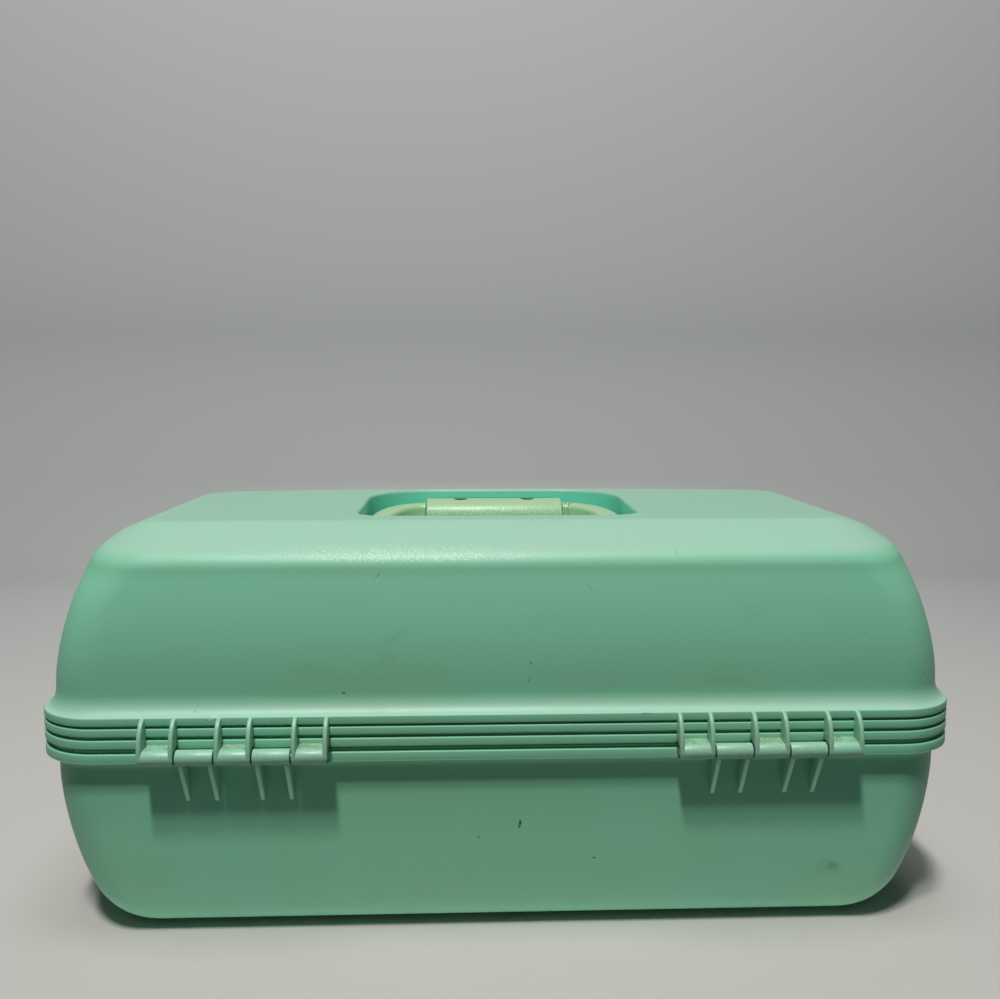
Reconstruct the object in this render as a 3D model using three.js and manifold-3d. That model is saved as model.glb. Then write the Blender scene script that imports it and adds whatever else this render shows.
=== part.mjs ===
// Cosmetic case: a moulded case with a hinged lid, a latch, a folding handle, a mirror and a tray on
// cantilever arms. Millimetres, +Z up, hinges towards +Y, latch towards -Y, feet standing on Z = 0.
import * as THREE from 'three';
import { mergeVertices } from 'three/addons/utils/BufferGeometryUtils.js';
import Module from 'manifold-3d';

const wasm = await Module();
wasm.setup();

// Whole case
const rimWidth = 342;
const rimDepth = 181.4;
const rimReach = 4.5;
const cornerRadius = 20;
const wall = 2.4;
const grooveDepth = 1.7;
const partingRebate = 0.5;
const fit = 0.3;
const root = 0.8;
const overrun = 2;
const cornerSteps = 6;
const roundSides = 12;

// Base shell, from its bottom face up to the parting plane
const footHeight = 3;
const footLength = 26;
const footWidth = 10;
const footEndGap = 19.1;
const footSideGap = 11.4;
const baseHeight = 71;
const baseEndInset = 22.4;
const baseEndStraight = 3.7;
const baseEndPower = 1.59;
const baseFrontInset = 11.8;
const baseFrontRise = 33.8;
const baseFrontPower = 2.19;
const baseBandHeight = 4.7;
const baseFlareHeight = 4;
const tongueHeight = 3.2;
const tongueThickness = 2.6;
const tonguePlay = 0.4;
const baseSteps = 12;
const flareSteps = 3;

// Lid shell, from the parting gap up to its flat top
const lidHeight = 77.3;
const lidBandHeights = [3.2, 2.9, 3.1];
const lidGrooveHeights = [1.3, 1];
const lidFlareHeight = 7.1;
const lidWallDraft = 6;
const lidWallPower = 2;
const lidShoulderDrop = 8.8;
const lidShoulderRadius = 9;
const lidFlatMargin = 6.3;
const lidEndDraft = 15;
const lidEndPower = 1.7;
const lidEndShoulderDrop = 3.8;
const lidEndShoulderRadius = 17;
const lidEndInset = 35.6;
const lidCornerShare = 0.58;
const lidWallSteps = 5;
const lidShoulderSteps = 4;

// Hinges
const hingeAxisReach = 3.9;
const hingeAxisDrop = 0.9;
const barrelRadius = 2.8;
const hingePinRadius = 1.2;
const hingeInset = 75.2;
const lidKnuckles = 3;
const knucklePitch = 26.9;
const finSpacing = 11.1;
const finThickness = 1.6;
const finSteps = 6;
const knuckleGap = 0.5;
const webRise = 1.3;
const gussetDrop = 19.5;
const gussetInset = 0.6;

// Handle well in the lid's top, and the folding handle that lies in it
const wellFrontGap = 2.6;
const wellSideGap = 1.7;
const wellFloorGap = 3;
const wellRear = 38;
const wellFrontRadius = 28;
const wellRearRadius = 12;
const wellWall = 2.2;
const handleAxisY = 14;
const handleAxisDrop = 11.6;
const handleReach = 49.4;
const handleSpan = 103;
const handleCornerWidth = 18.5;
const handleCornerLength = 34;
const handleShoulder = 0.4;
const armWidth = 9.6;
const armHeight = 10;
const armEndReach = 5;
const armEdge = 2.6;
const barSize = 6;
const barDrop = 1.5;
const gripWidth = 21.4;
const gripHeight = 14.5;
const gripDrop = 1.5;
const gripPower = 3;
const gripEndGap = 0.7;
const gripScrewSpacing = 32;
const gripScrewHeadRadius = 3;
const gripScrewHeadHeight = 1.5;
const gripScrewSink = 2.7;
const gripScrewRadius = 1.5;
const gripScrewEndSkin = 0.8;
const handlePinRadius = 2;
const handlePinHeadRadius = 3.5;
const handlePinHeadHeight = 2;
const handlePinEngagement = 7;
const handleCornerSteps = 6;

// Front latch
const latchWidth = 46;
const latchAxisReach = 3.5;
const latchAxisRise = 8.5;
const latchKnuckleRadius = 3;
const latchPinRadius = 1.3;
const latchPlateReach = 1.9;
const latchPlateThickness = 2.6;
const latchDrop = 16;
const latchTabHeight = 5;
const catchWidth = 34;
const catchReach = 1.5;
const hookHeight = 2;
const latchLugThickness = 3;

// Mirror under the lid
const mirrorEndRoom = 46.1;
const mirrorSideRoom = 21.8;
const mirrorFrameThickness = 6;
const mirrorFrameCorner = 10;
const mirrorGap = 0.7;
const mirrorBezel = 13;
const glassThickness = 3;
const glassCorner = 6;
const mirrorScrewHeadRadius = 3.2;
const mirrorScrewHeadHeight = 2;
const mirrorScrewRadius = 1.5;
const mirrorScrewLength = 16;
const mirrorBossRadius = 4;

// Tray and its cantilever linkage: lid pivot, tray pivot and arm pivots form a parallelogram
const trayEndRoom = 14.1;
const trayFrontRoom = 5.8;
const trayRearRoom = 23.8;
const trayHeight = 28;
const trayLift = 45;
const trayWall = 2.2;
const trayEndWall = 3;
const trayCorner = 12;
const trayRowWall = -12;
const trayFrontPockets = 4;
const trayRearPockets = 2;
const trayDividerDrop = 4;
const crankReach = 48;
const crankRise = 6;
const armPinRise = 16;
const linkRadius = 5;
const linkThickness = 3;
const linkGap = 0.4;
const linkPinRadius = 2;
const linkPinHeadRadius = 3.5;
const linkPinHeadHeight = 1.8;
const linkPinSeat = 6;
const bossGussetRise = 7;
const bossGussetWidth = 6;

// Heights and faces worked out from the sizes above
const wallX = rimWidth / 2 - rimReach;
const wallY = rimDepth / 2 - rimReach;
const rimFaceY = rimDepth / 2;
const baseBottom = footHeight;
const partingZ = baseBottom + baseHeight;
const lidBottom = partingZ + fit;
const lidTop = lidBottom + lidHeight;
const baseBandTop = partingZ - partingRebate;
const baseBandBottom = baseBandTop - baseBandHeight;
const tongueOut = tongueThickness - wall;
const innerX = wallX - wall;
const innerY = wallY - wall;
const footSpanX = (wallX - baseEndInset - footEndGap) * 2 - footLength;
const footSpanY = (wallY - baseFrontInset - footSideGap) * 2 - footWidth;
const baseEndRise = baseBandBottom - baseFlareHeight - baseEndStraight - baseBottom;
const hingeMiddle = rimWidth / 2 - hingeInset;
const trayLength = (innerX - trayEndRoom) * 2;
const hingeY = rimFaceY + hingeAxisReach;
const hingeZ = partingZ - hingeAxisDrop;
const gripLength = handleSpan - (handleCornerWidth + gripEndGap + handleShoulder) * 2;
const wellWidth = handleSpan + armWidth + wellSideGap * 2;
const wellFront = handleReach - handleAxisY + gripWidth / 2 + wellFrontGap;
const wellFloor = lidTop - gripDrop - gripHeight - wellFloorGap;
const lidFlatInset = wallY - lidFlatMargin - wellFront;
const handleAxisZ = lidTop - handleAxisDrop;
const gripY = handleAxisY - handleReach;
const gripZ = lidTop - gripDrop - gripHeight / 2;
const latchY = -(rimFaceY + latchAxisReach);
const latchZ = partingZ + latchAxisRise;
const mirrorTop = wellFloor - wellWall - mirrorGap;
const mirrorBottom = mirrorTop - mirrorFrameThickness;
const mirrorFrameLength = (innerX - mirrorEndRoom) * 2;
const mirrorFrameWidth = (innerY - mirrorSideRoom) * 2;
const glassLength = mirrorFrameLength - mirrorBezel * 2;
const glassWidth = mirrorFrameWidth - mirrorBezel * 2;
const trayFloorZ = baseBottom + trayLift;
const trayTop = trayFloorZ + trayHeight;
const trayFront = innerY - trayFrontRoom;
const trayRear = innerY - trayRearRoom;
const armAxisZ = trayFloorZ + armPinRise - crankRise;
const armInner = trayLength / 2 + linkGap;
const armOuter = armInner + linkThickness;

// Turns an indexed or plain geometry into a solid for joining and cutting.
function solid(geometry) {
  const bare = geometry.clone();
  bare.deleteAttribute('normal');
  bare.deleteAttribute('uv');
  const merged = mergeVertices(bare);
  return new wasm.Manifold(new wasm.Mesh({
    numProp: 3,
    vertProperties: new Float32Array(merged.attributes.position.array),
    triVerts: new Uint32Array(merged.index.array),
  }));
}

// Joins the added geometries to the first one, then cuts the others out of it.
function carve(body, added, removed) {
  let result = solid(body);
  for (const geometry of added) {
    result = result.add(solid(geometry));
  }
  for (const geometry of removed) {
    result = result.subtract(solid(geometry));
  }
  const mesh = result.getMesh();
  const geometry = new THREE.BufferGeometry();
  const positions = new Float32Array(mesh.vertProperties);
  geometry.setAttribute('position', new THREE.BufferAttribute(positions, mesh.numProp));
  geometry.setIndex(new THREE.BufferAttribute(new Uint32Array(mesh.triVerts), 1));
  return geometry;
}

// Closed skin over a stack of rings with the same number of points, capped at both ends.
function loft(rings) {
  const count = rings[0].length;
  const positions = rings.flat().flatMap((point) => [point.x, point.y, point.z]);
  const indices = [];
  for (let level = 0; level + 1 < rings.length; level += 1) {
    for (let i = 0; i < count; i += 1) {
      const next = (i + 1) % count;
      const [a, b] = [level * count + i, level * count + next];
      const [c, d] = [a + count, b + count];
      indices.push(a, b, d, a, d, c);
    }
  }
  for (const [level, turn] of [[0, -1], [rings.length - 1, 1]]) {
    const middle = new THREE.Vector3();
    rings[level].forEach((point) => middle.addScaledVector(point, 1 / count));
    const centre = positions.length / 3;
    positions.push(middle.x, middle.y, middle.z);
    for (let i = 0; i < count; i += 1) {
      const [a, b] = [level * count + i, level * count + ((i + 1) % count)];
      indices.push(centre, turn > 0 ? a : b, turn > 0 ? b : a);
    }
  }
  const geometry = new THREE.BufferGeometry();
  geometry.setAttribute('position', new THREE.Float32BufferAttribute(positions, 3));
  geometry.setIndex(indices);
  return geometry;
}

// Rounded rectangle at one height, counter-clockwise from above.
function ring(halfX, halfY, radius, z) {
  const points = [];
  const corners = [[1, 1], [-1, 1], [-1, -1], [1, -1]];
  corners.forEach(([signX, signY], quarter) => {
    for (let step = 0; step <= cornerSteps; step += 1) {
      const angle = (quarter + step / cornerSteps) * Math.PI / 2;
      const x = signX * (halfX - radius) + radius * Math.cos(angle);
      const y = signY * (halfY - radius) + radius * Math.sin(angle);
      points.push(new THREE.Vector3(x, y, z));
    }
  });
  return points;
}

// Ring of the case's plan, moved outwards from the wall by the given amounts, its corners grown.
function wallRing(z, outX, outY = outX, growth = 0) {
  const radius = cornerRadius + Math.max(outX, outY, -wall) + growth;
  return ring(wallX + outX, wallY + outY, radius, z);
}

// Superellipse draw-in: zero at share 0, the whole inset at share 1.
function drawIn(share, inset, power) {
  const clipped = Math.min(Math.max(share, 0), 1);
  return inset * (1 - (1 - clipped ** power) ** (1 / power));
}

function extrudeX(outline, start, end) {
  const shape = new THREE.Shape(outline.map(([y, z]) => new THREE.Vector2(y, z)));
  const geometry = new THREE.ExtrudeGeometry(shape, { depth: end - start, bevelEnabled: false });
  const axes = new THREE.Matrix4().makeBasis(
    new THREE.Vector3(0, 1, 0),
    new THREE.Vector3(0, 0, 1),
    new THREE.Vector3(1, 0, 0),
  );
  return geometry.applyMatrix4(axes).translate(start, 0, 0);
}

function extrudeZ(outline, start, end) {
  const shape = new THREE.Shape(outline.map((point) => new THREE.Vector2(point.x, point.y)));
  const geometry = new THREE.ExtrudeGeometry(shape, { depth: end - start, bevelEnabled: false });
  return geometry.translate(0, 0, start);
}

function block(fromX, toX, fromY, toY, fromZ, toZ) {
  const geometry = new THREE.BoxGeometry(toX - fromX, toY - fromY, toZ - fromZ);
  return geometry.translate((fromX + toX) / 2, (fromY + toY) / 2, (fromZ + toZ) / 2);
}

function rodX(radius, fromX, toX, y, z) {
  const geometry = new THREE.CylinderGeometry(radius, radius, toX - fromX, roundSides);
  return geometry.rotateZ(-Math.PI / 2).translate((fromX + toX) / 2, y, z);
}

function rodZ(radius, x, y, fromZ, toZ) {
  const geometry = new THREE.CylinderGeometry(radius, radius, toZ - fromZ, roundSides);
  return geometry.rotateX(Math.PI / 2).translate(x, y, (fromZ + toZ) / 2);
}

// The same two X values on either side of the case, lowest first.
function sided(side, near, far) {
  return side > 0 ? [near, far] : [-far, -near];
}

// Round pin along X from a head at the origin to its tip; a head of no height leaves a plain pin.
function headedPin(radius, length, headRadius, headHeight) {
  const profile = [
    new THREE.Vector2(0, -headHeight),
    new THREE.Vector2(headRadius, -headHeight),
    new THREE.Vector2(headRadius, 0),
    new THREE.Vector2(radius, 0),
    new THREE.Vector2(radius, length),
    new THREE.Vector2(0, length),
  ];
  return new THREE.LatheGeometry(profile, roundSides).rotateZ(-Math.PI / 2);
}

function plainPin(radius, length) {
  const profile = [
    new THREE.Vector2(0, 0),
    new THREE.Vector2(radius, 0),
    new THREE.Vector2(radius, length),
    new THREE.Vector2(0, length),
  ];
  return new THREE.LatheGeometry(profile, roundSides).rotateZ(-Math.PI / 2);
}

function arc(centreY, centreZ, radius, from, to, steps) {
  const points = [];
  for (let step = 0; step <= steps; step += 1) {
    const angle = THREE.MathUtils.degToRad(from + (to - from) * step / steps);
    points.push([centreY + radius * Math.cos(angle), centreZ + radius * Math.sin(angle)]);
  }
  return points;
}

// Points of the round that joins two straight lines meeting at the corner.
function roundedCorner(before, corner, after, radius, steps) {
  const toBefore = before.clone().sub(corner).normalize();
  const toAfter = after.clone().sub(corner).normalize();
  const half = Math.acos(toBefore.dot(toAfter)) / 2;
  const centre = corner.clone().add(toBefore.clone().add(toAfter).setLength(radius / Math.sin(half)));
  const start = corner.clone().addScaledVector(toBefore, radius / Math.tan(half)).sub(centre);
  const end = corner.clone().addScaledVector(toAfter, radius / Math.tan(half)).sub(centre);
  const sweep = Math.atan2(start.cross(end), start.dot(end));
  const points = [];
  for (let step = 0; step <= steps; step += 1) {
    const turned = start.clone().rotateAround(new THREE.Vector2(), sweep * step / steps);
    points.push(turned.add(centre));
  }
  return points;
}

// Profile of one lid face as inset and height: a bowed wall, a round shoulder and a slope to the flat top.
function faceProfile(draft, power, shoulderDrop, radius, inset) {
  const foot = lidBottom + partingRebate + lidRimHeight() + lidFlareHeight;
  const rise = lidTop - shoulderDrop - foot;
  const shoulder = new THREE.Vector2(draft, foot + rise);
  const along = shoulder.clone().sub(new THREE.Vector2(draft * power, rise));
  const bend = roundedCorner(along, shoulder, new THREE.Vector2(inset, lidTop), radius, lidShoulderSteps);
  const points = [];
  for (let step = 0; step < lidWallSteps; step += 1) {
    const share = (bend[0].y - foot) / rise * step / lidWallSteps;
    points.push(new THREE.Vector2(draft * share ** power, foot + rise * share));
  }
  return [...points, ...bend, new THREE.Vector2(inset, lidTop)];
}

function insetAt(profile, z) {
  const next = profile.findIndex((point, i) => i > 0 && point.y >= z);
  const [from, to] = [profile[next - 1], profile[next]];
  return from.x + (to.x - from.x) * (z - from.y) / (to.y - from.y);
}

// Levels of the lid above its flare: how far its ends and its front and rear are drawn in at each height.
function lidLevels() {
  const side = faceProfile(lidWallDraft, lidWallPower, lidShoulderDrop, lidShoulderRadius, lidFlatInset);
  const end = faceProfile(lidEndDraft, lidEndPower, lidEndShoulderDrop, lidEndShoulderRadius, lidEndInset);
  const heights = [...side, ...end].map((point) => point.y).sort((a, b) => a - b);
  const levels = [];
  for (const z of heights) {
    if (levels.length === 0 || z - levels.at(-1).z > fit) {
      levels.push({ z, outX: -insetAt(end, z), outY: -insetAt(side, z) });
    }
  }
  return levels;
}

function lidRimHeight() {
  const bands = lidBandHeights.reduce((sum, height) => sum + height, 0);
  return bands + lidGrooveHeights.reduce((sum, height) => sum + height, 0);
}

// Lid skin: down its inside, across the parting face, up the banded rim, the flare and the dome.
function lidSkin() {
  const dome = lidLevels();
  const domeRing = ({ z, outX, outY }, depth) => (
    wallRing(z - depth, outX - depth, outY - depth, -outX * lidCornerShare)
  );
  const rebateTop = partingZ + tongueHeight + tonguePlay + fit;
  const inside = dome.map((level) => domeRing(level, wall)).reverse();
  const rings = [
    ...inside,
    wallRing(rebateTop, -wall),
    wallRing(rebateTop, tongueOut + tonguePlay),
    wallRing(lidBottom, tongueOut + tonguePlay),
    wallRing(lidBottom, rimReach - grooveDepth),
    wallRing(lidBottom + partingRebate, rimReach - grooveDepth),
  ];
  let z = lidBottom + partingRebate;
  lidBandHeights.forEach((height, band) => {
    rings.push(wallRing(z, rimReach), wallRing(z + height, rimReach));
    z += height;
    if (band < lidGrooveHeights.length) {
      rings.push(wallRing(z, rimReach - grooveDepth));
      z += lidGrooveHeights[band];
      rings.push(wallRing(z, rimReach - grooveDepth));
    }
  });
  for (let step = 1; step < flareSteps; step += 1) {
    const angle = step / flareSteps * Math.PI / 2;
    rings.push(wallRing(z + lidFlareHeight * (1 - Math.cos(angle)), rimReach * (1 - Math.sin(angle))));
  }
  dome.forEach((level) => rings.push(domeRing(level, 0)));
  return loft(rings);
}

// Base skin: up its outside to the rim and the tongue, then down its inside to the floor.
function baseSkin() {
  const bowl = [];
  for (let step = 0; step <= baseSteps; step += 1) {
    const height = baseEndRise * (1 - Math.cos(step / baseSteps * Math.PI / 2));
    const outX = -drawIn(1 - height / baseEndRise, baseEndInset, baseEndPower);
    const outY = -drawIn(1 - height / baseFrontRise, baseFrontInset, baseFrontPower);
    bowl.push({ z: baseBottom + height, outX, outY });
  }
  const rings = bowl.map(({ z, outX, outY }) => wallRing(z, outX, outY));
  for (let step = 0; step < flareSteps; step += 1) {
    const angle = step / flareSteps * Math.PI / 2;
    const z = baseBandBottom - baseFlareHeight * (1 - Math.sin(angle));
    rings.push(wallRing(z, rimReach * (1 - Math.cos(angle))));
  }
  rings.push(
    wallRing(baseBandBottom, rimReach),
    wallRing(baseBandTop, rimReach),
    wallRing(baseBandTop, rimReach - grooveDepth),
    wallRing(partingZ, rimReach - grooveDepth),
    wallRing(partingZ, tongueOut),
    wallRing(partingZ + tongueHeight, tongueOut),
    wallRing(partingZ + tongueHeight, -wall),
  );
  bowl.reverse().forEach(({ z, outX, outY }) => rings.push(wallRing(z + wall, outX - wall, outY - wall)));
  return loft(rings);
}

const hingeFirst = hingeMiddle - knucklePitch * (lidKnuckles - 1) / 2;
const lidKnuckleHalf = (finSpacing + finThickness) / 2;
const baseKnuckleHalf = knucklePitch / 2 - lidKnuckleHalf - knuckleGap;

// Lid side of one hinge: knuckles on level webs between pairs of curved fins.
function lidKnuckleParts(side) {
  const lidRimTop = lidBottom + partingRebate + lidRimHeight();
  const finReach = hingeAxisReach + barrelRadius;
  const finRise = lidRimTop - hingeZ;
  const fin = [[rimFaceY - root, lidBottom + partingRebate], [rimFaceY - root, lidRimTop]];
  for (let step = 0; step <= finSteps; step += 1) {
    const angle = step / finSteps * Math.PI / 2;
    fin.push([rimFaceY + finReach * Math.sin(angle), hingeZ + finRise * Math.cos(angle)]);
  }
  fin.push(...arc(hingeY, hingeZ, barrelRadius, -30, -180, finSteps));
  const web = [
    [rimFaceY - root, lidBottom + partingRebate],
    [hingeY - barrelRadius, hingeZ],
    [hingeY, hingeZ + barrelRadius],
    [rimFaceY - root, lidBottom + partingRebate + webRise],
  ];
  const parts = [];
  for (let knuckle = 0; knuckle < lidKnuckles; knuckle += 1) {
    const middle = hingeFirst + knuckle * knucklePitch;
    const [from, to] = sided(side, middle - lidKnuckleHalf, middle + lidKnuckleHalf);
    parts.push(rodX(barrelRadius, from, to, hingeY, hingeZ));
    parts.push(extrudeX(web, from, to));
    parts.push(extrudeX(fin, from, from + finThickness));
    parts.push(extrudeX(fin, to - finThickness, to));
  }
  return parts;
}

// Base side of one hinge: knuckles on a web under the rim, each on two gussets down to the wall.
function baseKnuckleParts(side) {
  const web = [
    [rimFaceY - root, baseBandBottom + root],
    [hingeY - barrelRadius / 2, hingeZ - barrelRadius],
    [hingeY, hingeZ],
    [rimFaceY - root, baseBandTop],
  ];
  const gusset = [
    [hingeY + barrelRadius / 2, hingeZ],
    [rimFaceY - root, baseBandTop],
    [wallY - root, baseBandBottom - baseFlareHeight],
    [wallY - root, hingeZ - gussetDrop],
    [wallY + root, hingeZ - gussetDrop],
    [hingeY + barrelRadius / 2, hingeZ - barrelRadius / 2],
  ];
  const parts = [];
  for (let knuckle = 0; knuckle + 1 < lidKnuckles; knuckle += 1) {
    const middle = hingeFirst + (knuckle + 0.5) * knucklePitch;
    const [from, to] = sided(side, middle - baseKnuckleHalf, middle + baseKnuckleHalf);
    parts.push(rodX(barrelRadius, from, to, hingeY, hingeZ));
    parts.push(extrudeX(web, from, to));
    parts.push(extrudeX(gusset, from + gussetInset, from + gussetInset + finThickness));
    parts.push(extrudeX(gusset, to - gussetInset - finThickness, to - gussetInset));
  }
  return parts;
}

function hingeBore(side) {
  const reach = hingeMiddle + knucklePitch * lidKnuckles / 2;
  const [from, to] = sided(side, hingeFirst - knucklePitch, reach + overrun);
  return rodX(hingePinRadius + fit, from, to, hingeY, hingeZ);
}

// D-shaped outline of the handle well, grown by the given amount.
function wellOutline(grow) {
  const halfX = wellWidth / 2 + grow;
  const points = [];
  const corners = [
    [1, wellRear + grow, wellRearRadius + grow, 0],
    [-1, wellRear + grow, wellRearRadius + grow, 1],
    [-1, -wellFront - grow, wellFrontRadius + grow, 2],
    [1, -wellFront - grow, wellFrontRadius + grow, 3],
  ];
  for (const [sign, edgeY, radius, quarter] of corners) {
    const centreX = sign * (halfX - radius);
    const centreY = edgeY - Math.sign(edgeY) * radius;
    for (let step = 0; step <= cornerSteps; step += 1) {
      const angle = (quarter + step / cornerSteps) * Math.PI / 2;
      points.push(new THREE.Vector2(centreX + radius * Math.cos(angle), centreY + radius * Math.sin(angle)));
    }
  }
  return points;
}

function mirrorScrewPlaces() {
  const x = mirrorFrameLength / 2 - mirrorBezel / 2;
  const y = mirrorFrameWidth / 2 - mirrorBezel / 2;
  return [[-x, -y], [x, -y], [x, y], [-x, y]];
}

const trayPivotY = hingeY - crankReach;
const trayPivotZ = hingeZ + crankRise;
const armTipY = -crankReach;
const armTipZ = armAxisZ + crankRise;

function lidShell() {
  const added = [extrudeZ(wellOutline(wellWall), wellFloor - wellWall, lidTop - wall / 2)];
  const removed = [extrudeZ(wellOutline(0), wellFloor, lidTop + overrun)];
  for (const side of [-1, 1]) {
    added.push(...lidKnuckleParts(side));
    removed.push(hingeBore(side));
    const [lugFrom, lugTo] = sided(side, latchWidth / 2 + fit, latchWidth / 2 + fit + latchLugThickness);
    const lug = [
      [-(rimFaceY - root), latchZ - latchKnuckleRadius],
      [-(rimFaceY - root), latchZ + latchKnuckleRadius],
      ...arc(latchY, latchZ, latchKnuckleRadius, 90, 270, cornerSteps),
    ];
    added.push(extrudeX(lug, lugFrom, lugTo));
    removed.push(rodX(latchPinRadius + fit, lugFrom - overrun, lugTo + overrun, latchY, latchZ));
    const [wellFrom, wellTo] = sided(side, wellWidth / 2 - overrun, wellWidth / 2 + wellWall + overrun);
    removed.push(rodX(handlePinRadius + fit, wellFrom, wellTo, handleAxisY, handleAxisZ));
    const bossStart = trayLength / 2 + fit;
    const [bossFrom, bossTo] = sided(side, bossStart, innerX - fit);
    added.push(rodX(linkRadius, bossFrom, bossTo, trayPivotY, trayPivotZ));
    const [ribFrom, ribTo] = sided(side, bossStart + linkPinSeat, innerX + root);
    const ribBottom = partingZ + tongueHeight + tonguePlay + fit;
    const ribFront = trayPivotY - bossGussetWidth / 2;
    const ribRear = ribFront + bossGussetWidth;
    added.push(block(ribFrom, ribTo, ribFront, ribRear, ribBottom, ribBottom + bossGussetRise));
    const [seatFrom, seatTo] = sided(side, bossStart - overrun, bossStart + linkPinSeat + fit);
    removed.push(rodX(linkPinRadius + fit, seatFrom, seatTo, trayPivotY, trayPivotZ));
  }
  for (const [x, y] of mirrorScrewPlaces()) {
    added.push(rodZ(mirrorBossRadius, x, y, mirrorTop + fit, lidTop - wall + root / 2));
    const depth = mirrorBottom + mirrorScrewHeadHeight + mirrorScrewLength + fit;
    removed.push(rodZ(mirrorScrewRadius + fit, x, y, mirrorTop, depth));
  }
  return carve(lidSkin(), added, removed);
}

function baseShell() {
  const added = [];
  const removed = [];
  for (const side of [-1, 1]) {
    added.push(...baseKnuckleParts(side));
    removed.push(hingeBore(side));
    const [bossFrom, bossTo] = sided(side, armOuter + fit, innerX + root);
    added.push(rodX(linkRadius, bossFrom, bossTo, 0, armAxisZ));
    const [seatFrom, seatTo] = sided(side, armOuter - overrun, armOuter + fit + linkPinSeat + fit);
    removed.push(rodX(linkPinRadius + fit, seatFrom, seatTo, 0, armAxisZ));
    for (const end of [-1, 1]) {
      const outline = ring(footLength / 2, footWidth / 2, footWidth / 2 - fit, 0);
      const foot = extrudeZ(outline, 0, baseBottom + root);
      added.push(foot.translate(side * footSpanX / 2, end * footSpanY / 2, 0));
    }
  }
  const catchFace = rimFaceY + catchReach;
  const half = catchWidth / 2;
  added.push(block(-half, half, -catchFace, -(rimFaceY - root), baseBandBottom, baseBandTop));
  return carve(baseSkin(), added, removed);
}

// One side of the bow's centre line, from behind the pivot to the corner's end beside the grip.
function bowLine() {
  const middleX = handleSpan / 2;
  const straightEnd = gripY + handleCornerLength;
  const start = new THREE.Vector2(middleX, handleAxisY + armEndReach);
  const points = [start, new THREE.Vector2(middleX, straightEnd)];
  for (let step = 1; step <= handleCornerSteps; step += 1) {
    const angle = step / handleCornerSteps * Math.PI / 2;
    const x = middleX - handleCornerWidth * (1 - Math.cos(angle));
    points.push(new THREE.Vector2(x, straightEnd - handleCornerLength * Math.sin(angle)));
  }
  return points;
}

// Eight-sided upright section of the bow at one station of its path.
function bowSection({ point, along, size, drop }) {
  const [halfWidth, halfHeight, edge] = size;
  const slope = (gripZ - handleAxisZ) / handleReach;
  const z = handleAxisZ + slope * (handleAxisY - point.y) - drop;
  const corners = [[1, 1], [-1, 1], [-1, -1], [1, -1]];
  return corners.flatMap(([w, h], corner) => {
    const flat = [w * (halfWidth - edge), h * halfHeight];
    const upright = [w * halfWidth, h * (halfHeight - edge)];
    const pair = corner % 2 === 0 ? [upright, flat] : [flat, upright];
    return pair.map(([s, t]) => new THREE.Vector3(point.x - along.y * s, point.y + along.x * s, z + t));
  });
}

// U-shaped bow of the handle: an arm at each side and a slimmer bar between them for the grip.
function handleBow() {
  const armSize = [armWidth / 2, armHeight / 2, armEdge];
  const barHalfSize = [barSize / 2, barSize / 2, barSize / 4];
  const line = bowLine();
  const across = new THREE.Vector2(-1, 0);
  const stations = line.map((point, i) => {
    const before = line[Math.max(i - 1, 0)];
    const after = line[Math.min(i + 1, line.length - 1)];
    const along = i === line.length - 1 ? across : after.clone().sub(before).normalize();
    return { point, along, size: armSize, drop: 0 };
  });
  const shoulder = new THREE.Vector2(gripLength / 2 + gripEndGap, gripY);
  stations.push({ point: shoulder, along: across, size: armSize, drop: 0 });
  stations.push({ point: shoulder, along: across, size: barHalfSize, drop: barDrop });
  const otherHalf = [...stations].reverse().map(({ point, along, size, drop }) => ({
    point: new THREE.Vector2(-point.x, point.y),
    along: new THREE.Vector2(along.x, -along.y),
    size,
    drop,
  }));
  const removed = [];
  for (const side of [-1, 1]) {
    const inner = handleSpan / 2 + armWidth / 2 - handlePinEngagement - fit;
    const [from, to] = sided(side, inner, handleSpan / 2 + armWidth / 2 + overrun);
    removed.push(rodX(handlePinRadius + fit, from, to, handleAxisY, handleAxisZ));
    const x = side * gripScrewSpacing / 2;
    removed.push(rodZ(gripScrewRadius + fit, x, gripY, gripZ - gripHeight, gripZ + gripHeight));
  }
  return carve(loft([...stations, ...otherHalf].map(bowSection)), [], removed);
}

// Upper or lower half of the grip sleeve: half a rounded block with a channel for the bar.
function gripHalf(upper) {
  const outline = [];
  for (let step = 0; step <= roundSides; step += 1) {
    const angle = step / roundSides * Math.PI;
    const y = Math.sign(Math.cos(angle)) * Math.abs(Math.cos(angle)) ** (2 / gripPower) * gripWidth / 2;
    const z = Math.sin(angle) ** (2 / gripPower) * gripHeight / 2;
    outline.push([gripY + y, gripZ + upper * Math.max(z, fit / 2)]);
  }
  const half = gripLength / 2;
  const channel = barSize / 2 + fit;
  const [fromY, toY] = [gripY - channel, gripY + channel];
  const barZ = gripZ - barDrop;
  const removed = [block(-half - overrun, half + overrun, fromY, toY, barZ - channel, barZ + channel)];
  for (const side of [-1, 1]) {
    const x = side * gripScrewSpacing / 2;
    const headSeat = gripZ + gripHeight / 2 - gripScrewSink - gripScrewHeadHeight;
    const tip = gripZ - gripHeight / 2 + gripScrewEndSkin;
    removed.push(rodZ(gripScrewRadius + fit, x, gripY, tip, gripZ + gripHeight));
    if (upper > 0) {
      removed.push(rodZ(gripScrewHeadRadius + fit, x, gripY, headSeat, gripZ + gripHeight));
    }
  }
  return carve(extrudeX(outline, -half, half), [], removed);
}

// Screw along Z with its head's top face at the origin and its tip below.
function screw(radius, length, headRadius, headHeight) {
  return headedPin(radius, length, headRadius, headHeight).rotateY(Math.PI / 2).translate(0, 0, -headHeight);
}

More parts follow.
